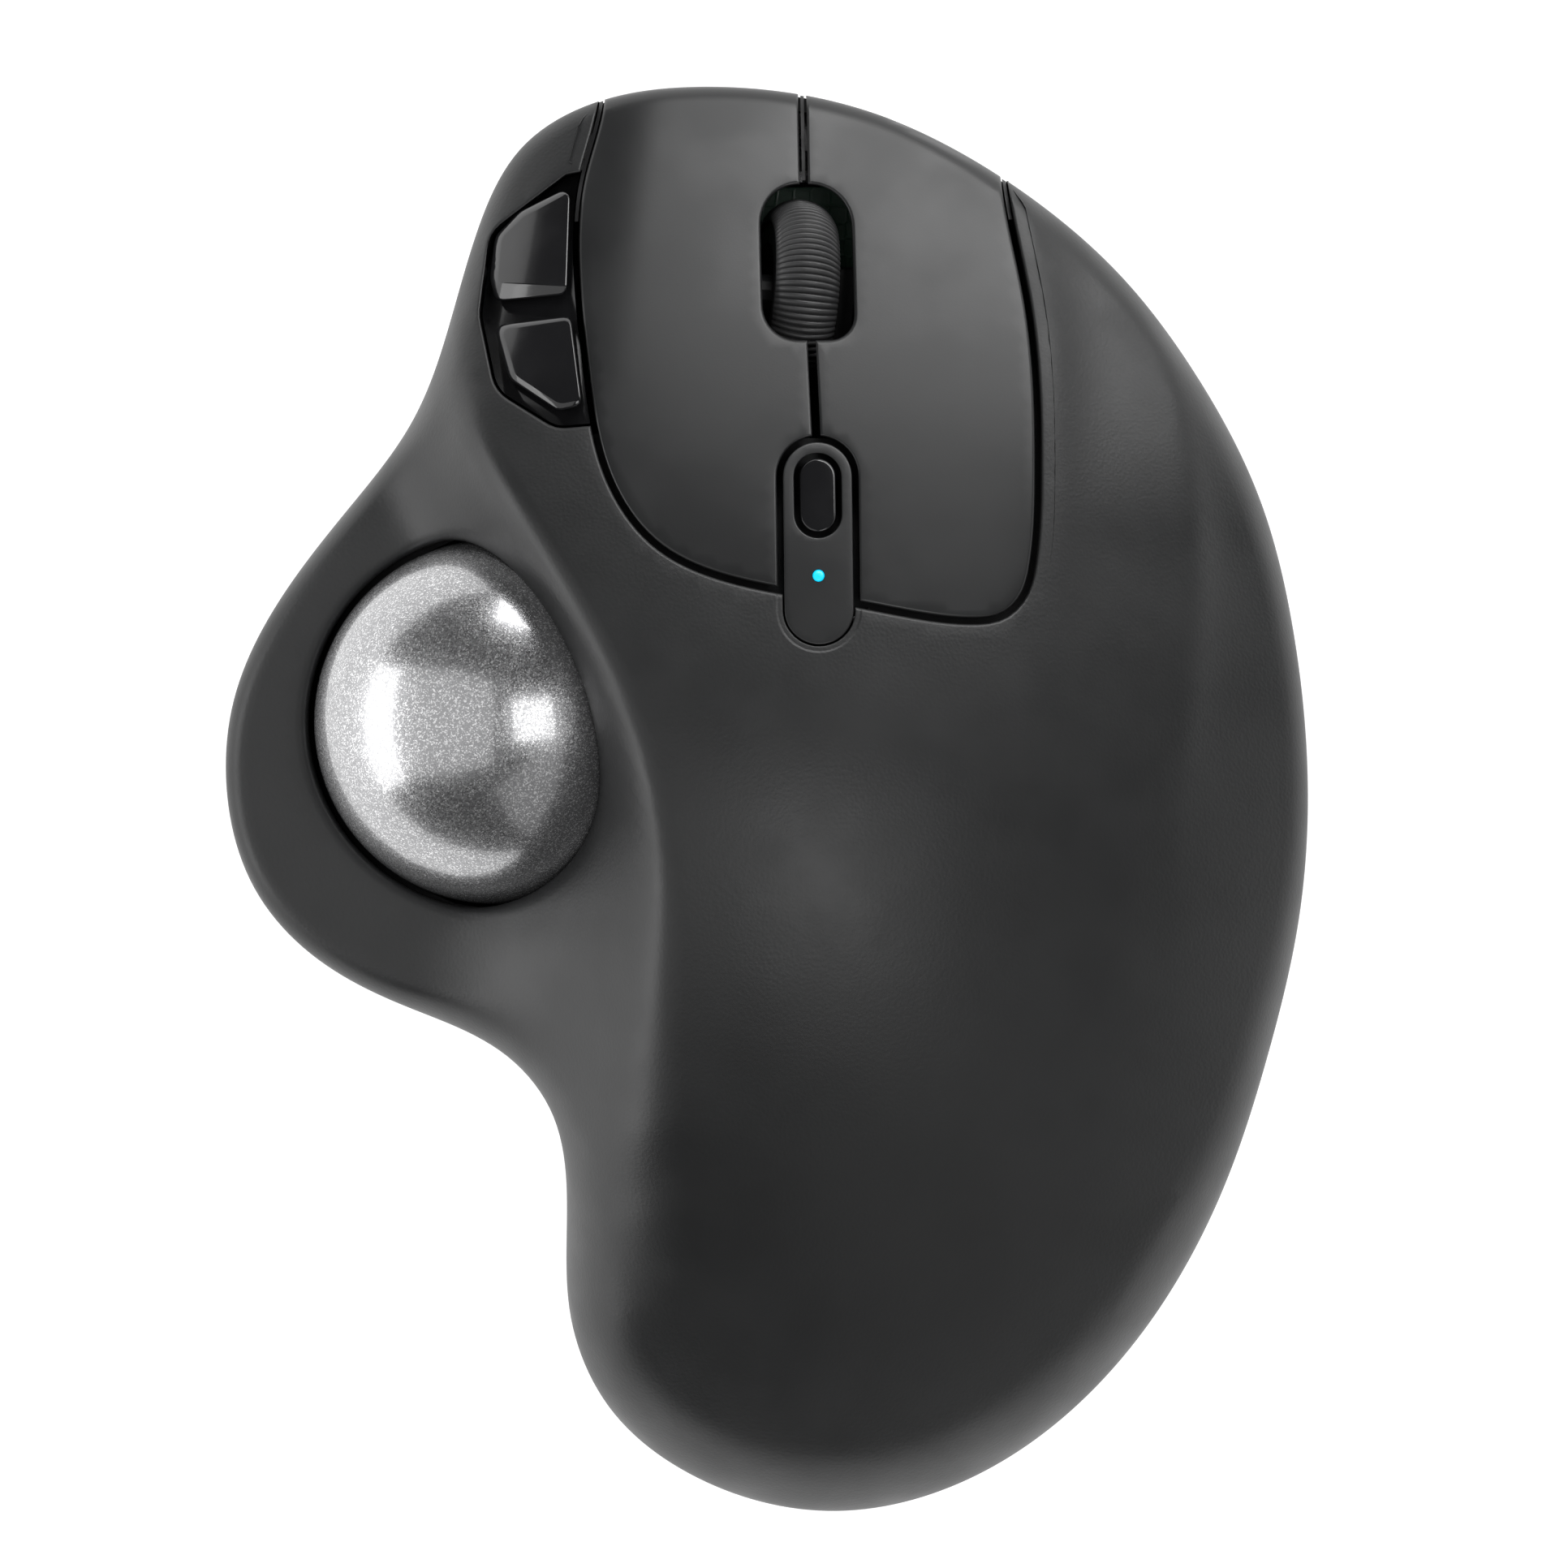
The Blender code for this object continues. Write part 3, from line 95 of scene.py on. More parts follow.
POCKET_CORNERS = [
    (-14.5, 58.6, 0.5), (-18.6, 57.9, 1.0), (-25.6, 52.6, 3.0), (-26.5, 45.0, 4.0),
    (-25.0, 38.0, 3.0), (-19.5, 34.6, 2.5), (-14.5, 35.0, 0.5),
]
FORWARD_FACE = [
    (-18.2, 56.6, 0.4), (-22.6, 54.3, 1.8), (-24.7, 52.3, 1.2), (-25.1, 48.0, 0.5),
    (-18.4, 47.6, 0.4),
]
BACK_FACE = [
    (-18.3, 44.5, 0.5), (-24.7, 43.7, 0.6), (-23.4, 39.4, 1.3), (-19.2, 36.6, 1.0),
    (-17.3, 37.0, 0.5),
]
FORWARD_CORNERS = [
    (-18.3, 57.0, 0.7), (-23.0, 54.7, 2.0), (-25.3, 52.4, 1.5), (-25.8, 48.5, 2.0),
    (-25.2, 46.3, 0.7), (-18.6, 46.9, 0.7),
]
BACK_CORNERS = [
    (-18.2, 44.9, 0.7), (-25.4, 44.0, 0.8), (-23.9, 39.0, 1.5), (-19.3, 36.0, 1.2),
    (-17.1, 36.5, 0.7),
]
THUMB_WALL_POINTS = [
    (-38.0, 75.0), (-32.6, 56.0), (-30.0, 46.0), (-28.6, 39.0), (-27.2, 33.6), (-23.0, 26.0),
    (-17.4, 17.0), (-13.2, 7.9), (-10.8, -1.0), (-9.9, -11.0), (-10.3, -19.0), (-11.7, -31.3),
    (-13.4, -40.4), (-18.5, -51.0), (-30.0, -62.0),
]
RING_STEP_POINTS = [
    (22.8, 62.0), (24.0, 56.0), (25.5, 49.2), (26.7, 41.5), (27.1, 29.8), (27.1, 18.0),
    (26.8, 4.0),
]
LITTLE_STEP_POINTS = [
    (20.0, 58.5), (28.1, 53.2), (31.7, 49.6), (34.6, 45.9), (37.0, 41.4), (38.5, 36.4),
    (39.4, 31.0), (39.9, 25.6), (40.1, 21.0), (39.7, 12.0), (38.6, 3.0), (36.5, -8.0),
]
CENTRE_LINE_POINTS = [(4.8, 16.0), (4.6, 33.6), (4.15, 42.7), (3.45, 57.1), (3.1, 75.0)]
WHEEL_SLOT_CORNERS = [(-0.7, 57.2, 3.6), (7.8, 57.2, 4.0), (8.2, 42.6, 2.3), (-0.3, 42.6, 3.3)]
ISLAND = ((4.7, 29.9), (4.85, 17.5), 3.5)
DPI_WELL = ((4.7, 29.9), (4.75, 26.4), 2.2)
DPI_CAP = ((4.7, 29.9), (4.75, 26.4), 1.65)
STATUS_LIGHT, LIGHT_HOLE = (4.8, 20.7, 0.55), 0.6

HUMP_HEIGHT = [
    (-75.0, 13.0), (-66.0, 20.0), (-58.0, 26.3), (-48.0, 33.5), (-35.0, 40.7), (-20.0, 45.4),
    (-8.0, 46.6), (4.0, 45.7), (18.0, 41.75), (32.0, 35.5), (44.0, 28.8), (55.0, 21.9),
    (62.0, 17.2), (70.0, 11.5),
]
HUMP_LINE = [
    (-70.0, 3.0), (-45.0, 1.0), (-20.0, -4.0), (0.0, -7.0), (20.0, -12.0), (45.0, -12.0),
    (70.0, -9.0),
]
FALL_RIGHT = [
    (-70.0, 0.0112), (-40.0, 0.0107), (-15.0, 0.0098), (0.0, 0.0086), (18.0, 0.0063),
    (32.0, 0.0050), (46.0, 0.0044), (60.0, 0.0042),
]
FALL_LEFT = [
    (-70.0, 0.012), (-20.0, 0.004), (10.0, 0.004), (30.0, 0.010), (45.0, 0.022), (66.0, 0.028),
]
WALL_SLOPE = [(-45.0, 1.6), (-30.0, 1.3), (-15.0, 1.35), (2.0, 2.4), (30.0, 2.2)]
WALL_FILLET = [(-40.0, 12.0), (-12.0, 12.0), (7.0, 9.0), (30.0, 11.0), (45.0, 8.0)]
CREST_FILLET = [(-46.0, 12.0), (-38.0, 8.0), (-30.0, 5.0), (-16.0, 2.6), (20.0, 2.4)]
RING_STEP_DEPTH = [(-5.0, 0.0), (10.0, 0.1), (25.0, 0.9), (45.0, 2.2), (60.0, 2.4)]
LITTLE_STEP_DEPTH = [(-14.0, 0.0), (-4.0, 0.2), (8.0, 1.0), (25.0, 2.3), (45.0, 2.2), (58.0, 1.2)]
DECK_LEFT_X, DECK_LEFT_Z, DECK_TILT = -50.0, 19.0, 0.30
DECK_FRONT_Y, DECK_FRONT_FALL = 4.0, 0.0045
DECK_REAR_Y, DECK_REAR_FALL, DECK_REAR_TILT = -17.0, 0.12, 0.02
STEP_REACH = 3.4
STEP_ROUNDING = 0.35
EDGE_WIDTH = [(-66.0, 6.0), (-45.0, 4.5), (-25.0, 2.6), (0.0, 1.5), (40.0, 2.2), (66.0, 1.2)]
EDGE_DROP = [(-66.0, 8.5), (-45.0, 6.5), (-25.0, 4.0), (0.0, 2.2), (40.0, 4.5), (66.0, 1.4)]


# ---------------------------------------------------------------- curves in plan
def spline(knots):
    """Natural cubic spline through (t, value) knots, straight beyond its ends."""
    t, v = np.array(list(knots), float).T
    h = np.diff(t)
    count = len(t)
    system = np.eye(count)
    right = np.zeros(count)
    for i in range(1, count - 1):
        system[i, i - 1 : i + 2] = h[i - 1], 2 * (h[i - 1] + h[i]), h[i]
        right[i] = 6 * ((v[i + 1] - v[i]) / h[i] - (v[i] - v[i - 1]) / h[i - 1])
    bend = np.linalg.solve(system, right)
    first = (v[1] - v[0]) / h[0] - bend[1] * h[0] / 6
    last = (v[-1] - v[-2]) / h[-1] + bend[-2] * h[-1] / 6

    def value(q):
        q = np.asarray(q, float)
        s = np.clip(q, t[0], t[-1])
        i = np.clip(np.searchsorted(t, s) - 1, 0, count - 2)
        a, b = t[i + 1] - s, s - t[i]
        inner = (bend[i] * a**3 + bend[i + 1] * b**3) / (6 * h[i])
        inner += (v[i] / h[i] - bend[i] * h[i] / 6) * a
        inner += (v[i + 1] / h[i] - bend[i + 1] * h[i] / 6) * b
        return inner + np.minimum(q - t[0], 0) * first + np.maximum(q - t[-1], 0) * last

    return value


def blend_curve(knots):
    """Values at knots joined by smooth steps, level beyond the ends: it never overshoots."""
    t, v = np.array(knots, float).T

    def value(q):
        s = np.clip(np.asarray(q, float), t[0], t[-1])
        i = np.clip(np.searchsorted(t, s) - 1, 0, len(t) - 2)
        u = (s - t[i]) / (t[i + 1] - t[i])
        return v[i] + (v[i + 1] - v[i]) * u * u * (3 - 2 * u)

    return value


def spaced(points, step, closed):
    """The polyline's points again, at equal spacing close to step."""
    p = np.asarray(points, float)
    if closed:
        p = np.vstack([p, p[:1]])
    along = np.concatenate([[0], np.cumsum(np.hypot(*np.diff(p, axis=0).T))])
    count = max(3, round(along[-1] / step))
    at = np.linspace(0, along[-1], count + 1)
    if closed:
        at = at[:-1]
    return np.column_stack([np.interp(at, along, p[:, 0]), np.interp(at, along, p[:, 1])])


def smooth_line(points, step, closed=False):
    """A smooth curve through the points, as a polyline."""
    p = np.asarray(points, float)
    wrap = 4 if closed else 0
    if closed:
        p = np.vstack([p[-wrap:], p, p[: wrap + 1]])
    t = np.concatenate([[0], np.cumsum(np.hypot(*np.diff(p, axis=0).T))])
    across, along = spline(zip(t, p[:, 0])), spline(zip(t, p[:, 1]))
    fine = np.linspace(t[wrap], t[len(t) - 1 - wrap], 4000, endpoint=not closed)
    return spaced(np.column_stack([across(fine), along(fine)]), step, closed)


def rounded_polygon(corners, step):
    """A polygon whose corners (x, y, radius) are arcs."""
    path = []
    count = len(corners)
    for i, (x, y, radius) in enumerate(corners):
        here = np.array((x, y))
        before = np.array(corners[i - 1][:2]) - here
        after = np.array(corners[(i + 1) % count][:2]) - here
        before /= np.linalg.norm(before)
        after /= np.linalg.norm(after)
        half = math.acos(np.clip(before @ after, -1, 1)) / 2
        centre = here + (before + after) / np.linalg.norm(before + after) * radius / math.sin(half)
        reach = radius / math.tan(half)
        start, end = here + before * reach - centre, here + after * reach - centre
        sweep = math.atan2(start[0] * end[1] - start[1] * end[0], start @ end)
        pieces = max(4, round(abs(sweep) * radius / step) + 1)
        for k in range(pieces + 1):
            turn = sweep * k / pieces
            c, s = math.cos(turn), math.sin(turn)
            path.append(centre + (c * start[0] - s * start[1], s * start[0] + c * start[1]))
    return spaced(path, step, True)


def capsule(ends, step):
    """A slot shape: two end centres and a radius."""
    (ax, ay), (bx, by), radius = ends
    heading = math.atan2(by - ay, bx - ax)
    arc = np.linspace(-math.pi / 2, math.pi / 2, 40)
    first = [(bx + radius * math.cos(heading + t), by + radius * math.sin(heading + t)) for t in arc]
    second = [(ax - radius * math.cos(heading + t), ay - radius * math.sin(heading + t)) for t in arc]
    return spaced(first + second, step, True)


def circle(x, y, radius, count=40):
    turn = np.arange(count) * 2 * math.pi / count
    return np.column_stack([x + radius * np.cos(turn), y + radius * np.sin(turn)])


class Line:
    """A polyline in plan.  A closed one runs anticlockwise and its distance is positive inside;
    an open one's distance is positive on its left."""

    def __init__(self, points, closed=True):
        p = np.asarray(points, float)
        if closed:
            x, y = p.T
            if (x * np.roll(y, -1) - y * np.roll(x, -1)).sum() < 0:
                p = p[::-1]
        self.points, self.closed = p, closed
        self.start = p if closed else p[:-1]
        self.reach = (np.roll(p, -1, axis=0) if closed else p[1:]) - self.start

    def nearest(self, q):
        """(signed distance, unit vector inward) of each point."""
        q = np.asarray(q, float).reshape(-1, 2)
        distance, inward = np.empty(len(q)), np.empty((len(q), 2))
        length2 = (self.reach**2).sum(1)
        normal = np.column_stack([-self.reach[:, 1], self.reach[:, 0]]) / np.sqrt(length2)[:, None]
        for k in range(0, len(q), 1000):
            part = q[k : k + 1000]
            offset = part[:, None, :] - self.start[None]
            along = np.clip((offset * self.reach).sum(2) / length2, 0, 1)
            gap = offset - along[..., None] * self.reach
            size = (gap**2).sum(2)
            best = size.argmin(1)
            rows = np.arange(len(part))
            distance[k : k + 1000] = np.sqrt(size[rows, best])
            inward[k : k + 1000] = normal[best]
            if not self.closed:
                side = (gap[rows, best] * normal[best]).sum(1)
                distance[k : k + 1000] *= np.where(side < 0, -1, 1)
        if self.closed:
            distance *= np.where(self.contains(q), 1, -1)
        return distance, inward

    def distance(self, q):
        return self.nearest(q)[0]

    def contains(self, q):
        x0, y0 = self.start.T
        x1, y1 = (self.start + self.reach).T
        rise = np.where(y1 == y0, 1.0, y1 - y0)
        found = np.empty(len(q), bool)
        for k in range(0, len(q), 1000):
            x, y = q[k : k + 1000, :1], q[k : k + 1000, 1:]
            crosses = (y0 > y) != (y1 > y)
            found[k : k + 1000] = (crosses & (x < x0 + (y - y0) * (x1 - x0) / rise)).sum(1) % 2 == 1
        return found

    def moved(self, inward):
        """The line moved inwards by a small distance."""
        if inward == 0:
            return self.points
        step = self.reach / np.linalg.norm(self.reach, axis=1)[:, None]
        if self.closed:
            before, after = np.roll(step, 1, axis=0), step
        else:
            before, after = np.vstack([step[:1], step]), np.vstack([step, step[-1:]])
        middle = before + after
        middle /= np.linalg.norm(middle, axis=1)[:, None]
        stretch = np.maximum((middle * after).sum(1), 0.6)
        normal = np.column_stack([-middle[:, 1], middle[:, 0]])
        return self.points + normal * (inward / stretch)[:, None]


def smooth_min(a, b, size):
    share = np.maximum(size - np.abs(a - b), 0) / size
    return np.minimum(a, b) - share * share * size / 4


def smooth_max(a, b, size):
    return -smooth_min(-a, -b, size)


# ---------------------------------------------------------------- the outer skin
class Skin:
    """The height of the outer surface over the plan, in millimetres."""

    def __init__(self, step):
        self.outline = Line(smooth_line(OUTLINE_POINTS, step, closed=True))
        self.thumb_wall = Line(smooth_line(THUMB_WALL_POINTS, 1.0), closed=False)
        self.ring_step = Line(smooth_line(RING_STEP_POINTS, 0.8), closed=False)
        self.little_step = Line(smooth_line(LITTLE_STEP_POINTS, 0.8), closed=False)
        self.hump, self.hump_line = spline(HUMP_HEIGHT), spline(HUMP_LINE)
        self.fall_right, self.fall_left = spline(FALL_RIGHT), spline(FALL_LEFT)
        self.wall_fillet, self.wall_slope = blend_curve(WALL_FILLET), blend_curve(WALL_SLOPE)
        self.crest_fillet = blend_curve(CREST_FILLET)
        self.ring_depth, self.little_depth = blend_curve(RING_STEP_DEPTH), blend_curve(LITTLE_STEP_DEPTH)
        self.edge_width, self.edge_drop = blend_curve(EDGE_WIDTH), blend_curve(EDGE_DROP)

    def top(self, x, y):
        """The hump alone."""
        across = x - self.hump_line(y)
        fall = np.where(across > 0, self.fall_right(y), self.fall_left(y))
        return self.hump(y) - fall * across**2

    def step_down(self, line, depth, q):
        """How far a finger step lowers the skin to the right of its edge."""
        past = line.distance(q)
        past = (past + np.sqrt(past**2 + STEP_ROUNDING**2)) / 2
        return depth * (1 - np.exp(-past / STEP_REACH))

    def deck(self, x, y):
        """The deck around the ball."""
        front, rear = np.maximum(y - DECK_FRONT_Y, 0), np.maximum(DECK_REAR_Y - y, 0)
        level = DECK_LEFT_Z + DECK_TILT * (x - DECK_LEFT_X)
        fallen = level - DECK_FRONT_FALL * front**2 - DECK_REAR_FALL * rear**2
        return fallen + DECK_REAR_TILT * np.minimum(y, 0)

    def height(self, q):
        q = np.asarray(q, float).reshape(-1, 2)
        x, y = q.T
        z = self.top(x, y)
        z = z - self.step_down(self.ring_step, self.ring_depth(y), q)
        z = z - self.step_down(self.little_step, self.little_depth(y), q)
        wall = self.top(x, y) + self.wall_slope(y) * self.thumb_wall.distance(q)
        z = smooth_min(z, smooth_max(wall, self.deck(x, y), self.wall_fillet(y)), self.crest_fillet(y))
        inside = self.outline.distance(q)
        width, drop = self.edge_width(y), self.edge_drop(y)
        share = np.clip(1 - inside / width, 0, 1)
        return z - drop * (1 - np.sqrt(1 - share**2))

    def steepness(self, q, reach=0.2):
        """Length of the surface per length of plan."""
        dx, dy = np.array((reach, 0.0)), np.array((0.0, reach))
        gx = (self.height(q + dx) - self.height(q - dx)) / (2 * reach)
        gy = (self.height(q + dy) - self.height(q - dy)) / (2 * reach)
        return np.sqrt(1 + gx**2 + gy**2)

    def ball_rim(self, step):
        """The edge of the ball opening: where the skin meets a sphere just larger than the ball."""
        bx, by, bz = BALL_CENTRE
        outer, widest = BALL_RADIUS + RIM_GAP, BALL_RADIUS + BALL_CLEARANCE
        turn = np.linspace(0, 2 * math.pi, 360, endpoint=False)
        heading = np.column_stack([np.cos(turn), np.sin(turn)])
        low, high = np.full(len(turn), 4.0), np.full(len(turn), widest)
        for _ in range(30):
            middle = (low + high) / 2
            sphere = bz + np.sqrt(outer**2 - middle**2)
            above = self.height(heading * middle[:, None] + (bx, by)) < sphere
            low, high = np.where(above, middle, low), np.where(above, high, middle)
        return spaced(heading * low[:, None] + (bx, by), step, True)


# ---------------------------------------------------------------- meshes over the plan
def triangulate(borders, inside, step):
    """Plan points and anticlockwise triangles of a region whose edges follow the border lines."""
    points, edges = [], []
    for line in borders:
        first = len(points)
        points += [tuple(p) for p in line.points]
        last = len(points) - 1
        edges += [(i, i + 1) for i in range(first, last)]
        if line.closed:
            edges.append((last, first))
    low, high = borders[0].points.min(0), borders[0].points.max(0)
    rows = np.arange(low[1], high[1], step * math.sqrt(3) / 2)
    columns = np.arange(low[0], high[0], step)
    grid = np.array([(x + step / 2 * (i % 2), y) for i, y in enumerate(rows) for x in columns])
    grid = grid[inside(grid)]
    for line in borders:
        grid = grid[np.abs(line.distance(grid)) > 0.4 * step]
    points += [tuple(p) for p in grid]
    plan, _, faces, *_ = delaunay_2d_cdt([Vector(p) for p in points], edges, [], 0, 0.005)
    plan = np.array([p[:] for p in plan])
    faces = np.array(faces)
    faces = faces[inside(plan[faces].mean(1))]
    used, index = np.unique(faces, return_inverse=True)
    return plan[used], index.reshape(-1, 3)


def outer_edges(faces):
    """Directed edges that have a face on one side only, the face on their left."""
    sides = set()
    for a, b, c in faces.tolist():
        sides |= {(a, b), (b, c), (c, a)}
    return sorted((a, b) for a, b in sides if (b, a) not in sides)


class Region:
    """Part of the plan inside a set of borders, each (line, side, margin, rounding)."""

    def __init__(self, rules, rows=()):
        self.borders = [(Line(line.moved(side * margin), line.closed), side, rounding)
                        for line, side, margin, rounding in rules]
        self.rows = list(rows)
        for line, side, rounding in self.borders:
            if rounding:
                for share in (0.12, 0.35, 0.66, 1.0):
                    self.rows.append(Line(line.moved(side * rounding * share), line.closed))

    def inside(self, q):
        return np.min([side * line.distance(q) for line, side, _ in self.borders], axis=0) > 0

    def mesh(self, step):
        return triangulate([*(line for line, _, _ in self.borders), *self.rows], self.inside, step)

    def rounded_drop(self, q):
        """How far the rounded edges lower the surface at each point."""
        drop = np.zeros(len(q))
        for line, side, rounding in self.borders:
            if rounding:
                away = np.clip(rounding - side * line.distance(q), 0, rounding)
                drop = np.maximum(drop, rounding - np.sqrt(rounding**2 - away**2))
        return drop


def slab(plan, faces, top, bottom, foot=None):
    """A closed solid between two height lists over one triangulated plan."""
    foot = plan if foot is None else foot
    bm = bmesh.new()
    upper = [bm.verts.new((x, y, z)) for (x, y), z in zip(plan, top)]
    lower = [bm.verts.new((x, y, z)) for (x, y), z in zip(foot, bottom)]
    for a, b, c in faces.tolist():
        bm.faces.new((upper[a], upper[b], upper[c]))
        bm.faces.new((lower[c], lower[b], lower[a]))
    for a, b in outer_edges(faces):
        bm.faces.new((upper[b], upper[a], lower[a], lower[b]))
    return bm


def lathe(profile, count=64):
    """A closed profile of (radius, height) turned about Z.  A ring profile gives a ring."""
    bm = bmesh.new()
    rings = []
    turn = np.arange(count) * 2 * math.pi / count
    for radius, z in profile:
        if radius < 1e-6:
            rings.append([bm.verts.new((0, 0, z))] * count)
        else:
            rings.append([bm.verts.new((radius * math.cos(t), radius * math.sin(t), z)) for t in turn])
    ring_profile = min(radius for radius, _ in profile) > 1e-6
    for i in range(len(rings) if ring_profile else len(rings) - 1):
        low, high = rings[i], rings[(i + 1) % len(rings)]
        for k in range(count):
            corners = (low[k], low[(k + 1) % count], high[(k + 1) % count], high[k])
            corners = tuple(dict.fromkeys(corners))
            if len(corners) > 2:
                bm.faces.new(corners)
    bmesh.ops.recalc_face_normals(bm, faces=bm.faces)
    return bm


def moved_by(bm, matrix):
    bmesh.ops.transform(bm, matrix=matrix, verts=bm.verts)
    return bm


def linked(name, data):
    """A new object of this data, in the scene."""
    thing = bpy.data.objects.new(name, data)
    bpy.context.scene.collection.objects.link(thing)
    return thing


def mesh_of(name, bm):
    mesh = bpy.data.meshes.new(name)
    bm.to_mesh(mesh)
    bm.free()
    return mesh


def piece(name, bm, material, body, nodes=(), sharp=40):
    """Makes a shown piece from a mesh in millimetres and ties it to its body."""
    bmesh.ops.scale(bm, vec=(MM, MM, MM), verts=bm.verts)
    mesh = mesh_of(name, bm)
    thing = linked(name, mesh)
    mesh.materials.append(material)
    mesh.shade_smooth()
    mesh.set_sharp_from_angle(angle=math.radians(sharp))
    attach(thing, body)
    if nodes:
        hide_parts(*nodes)
    return thing


# ---------------------------------------------------------------- material nodes
class Surface:
    """A Principled material with object-space textures in metres."""

    def __init__(self, name, colour, roughness, metallic=0.0, coat=0.0, coat_roughness=0.03, specular=0.5):
        self.material = bpy.data.materials.new(name)
        self.material.use_nodes = True
        self.tree = self.material.node_tree
        self.shader = self.tree.nodes["Principled BSDF"]
        self.put("Base Color", (*colour, 1.0))
        self.put("Roughness", roughness)
        self.put("Metallic", metallic)
        self.put("Coat Weight", coat)
        self.put("Coat Roughness", coat_roughness)
        self.put("Specular IOR Level", specular)
        self.place = self.node("ShaderNodeTexCoord").outputs["Object"]
        self.colour, self.roughness = colour, roughness

    def node(self, kind, **values):
        made = self.tree.nodes.new(kind)
        for key, value in values.items():
            setattr(made, key, value)
        return made

    def put(self, socket, value):
        self.shader.inputs[socket].default_value = value

    def link(self, a, b):
        self.tree.links.new(a, b)

    def noise(self, size, detail=3.0, rough=0.55):
        """Noise whose features are about size metres across."""
        made = self.node("ShaderNodeTexNoise")
        made.inputs["Scale"].default_value = 1.0 / size
        made.inputs["Detail"].default_value = detail
        made.inputs["Roughness"].default_value = rough
        self.link(self.place, made.inputs["Vector"])
        return made.outputs["Fac"]

    def cells(self, size, feature="F1", output="Distance", randomness=1.0):
        made = self.node("ShaderNodeTexVoronoi", feature=feature)
        made.inputs["Scale"].default_value = 1.0 / size
        made.inputs["Randomness"].default_value = randomness
        self.link(self.place, made.inputs["Vector"])
        return made.outputs[output]

    def ramp(self, value, low, high, to_low, to_high):
        made = self.node("ShaderNodeMapRange", interpolation_type="SMOOTHSTEP")
        for name, number in (("From Min", low), ("From Max", high), ("To Min", to_low), ("To Max", to_high)):
            made.inputs[name].default_value = number
        self.link(value, made.inputs["Value"])
        return made.outputs["Result"]

    def mix_colour(self, share, a, b):
        made = self.node("ShaderNodeMix", data_type="RGBA")
        self.link(share, made.inputs[0])
        made.inputs[6].default_value = (*a, 1.0)
        made.inputs[7].default_value = (*b, 1.0)
        return made.outputs[2]

    def bump(self, height, strength, depth, before=None):
        """Bump of a height from 0 to 1 that stands for depth metres."""
        made = self.node("ShaderNodeBump")
        made.inputs["Strength"].default_value = strength
        made.inputs["Distance"].default_value = depth
        self.link(height, made.inputs["Height"])
        if before is not None:
            self.link(before, made.inputs["Normal"])
        return made.outputs["Normal"]

    def normal(self, output):
        self.link(output, self.shader.inputs["Normal"])

    def vary(self, spread_size, colour_spread=0.12, rough_spread=0.05):
        """Soft blotches in colour and roughness."""
        cloud = self.noise(spread_size)
        dark = tuple(c * (1 - colour_spread) for c in self.colour)
        pale = tuple(min(c * (1 + colour_spread), 1.0) for c in self.colour)
        blotches = self.mix_colour(self.ramp(cloud, 0.3, 0.7, 0, 1), dark, pale)
        self.link(blotches, self.shader.inputs["Base Color"])
        low, high = self.roughness - rough_spread, self.roughness + rough_spread
        worn = self.ramp(self.noise(spread_size * 0.6), 0.3, 0.7, low, high)
        self.link(worn, self.shader.inputs["Roughness"])


def shell_grain():
    """Charcoal moulding with a fine etched grain."""
    s = Surface("shell_grain", (0.017, 0.0175, 0.018), 0.43, specular=0.5)
    s.vary(0.012, 0.10, 0.03)
    pebbles = s.ramp(s.cells(0.00030, "SMOOTH_F1"), 0.05, 0.75, 1.0, 0.0)
    first = s.bump(pebbles, 0.35, 0.00002)
    s.normal(s.bump(s.noise(0.00015, 2.0), 0.3, 0.00001, first))
    return s.material


def cover_satin():
    s = Surface("cover_satin", (0.015, 0.0155, 0.016), 0.35, specular=0.5)
    s.vary(0.015, 0.06, 0.03)
    s.normal(s.bump(s.noise(0.00018, 2.0), 0.18, 0.00002))
    return s.material


def gloss_black():
    s = Surface("gloss_black", (0.012, 0.012, 0.013), 0.16, coat=0.4, coat_roughness=0.06)
    s.vary(0.006, 0.10, 0.03)
    s.normal(s.bump(s.noise(0.0012, 2.0), 0.05, 0.00002))
    return s.material


def inner_black():
    s = Surface("inner_black", (0.010, 0.010, 0.011), 0.55)
    s.vary(0.004, 0.15, 0.06)
    s.normal(s.bump(s.noise(0.0003, 3.0), 0.3, 0.00003))
    return s.material


def wheel_rubber():
    s = Surface("wheel_rubber", (0.040, 0.040, 0.041), 0.42, specular=0.5)
    s.vary(0.003, 0.15, 0.06)
    s.normal(s.bump(s.noise(0.0002, 3.0), 0.3, 0.00002))
    return s.material


def foot_rubber():
    s = Surface("foot_rubber", (0.018, 0.018, 0.019), 0.45)
    s.vary(0.003, 0.15, 0.08)
    s.normal(s.bump(s.noise(0.0005, 3.0), 0.25, 0.00003))
    return s.material


def ball_silver():
    """Silver-grey resin full of fine glitter under a clear coat."""
    s = Surface("ball_silver", (0.35, 0.35, 0.36), 0.30, metallic=0.85, coat=1.0, coat_roughness=0.02)
    flake = s.node("ShaderNodeSeparateColor")
    s.link(s.cells(0.00011, "F1", "Color"), flake.inputs["Color"])
    bright = s.ramp(flake.outputs["Red"], 0.6, 1.0, 0.0, 1.0)
    s.link(s.mix_colour(bright, (0.38, 0.38, 0.39), (0.95, 0.95, 0.96)), s.shader.inputs["Base Color"])
    s.link(s.ramp(flake.outputs["Green"], 0.0, 1.0, 0.20, 0.36), s.shader.inputs["Roughness"])
    s.normal(s.bump(flake.outputs["Blue"], 0.20, 0.00002))
    return s.material


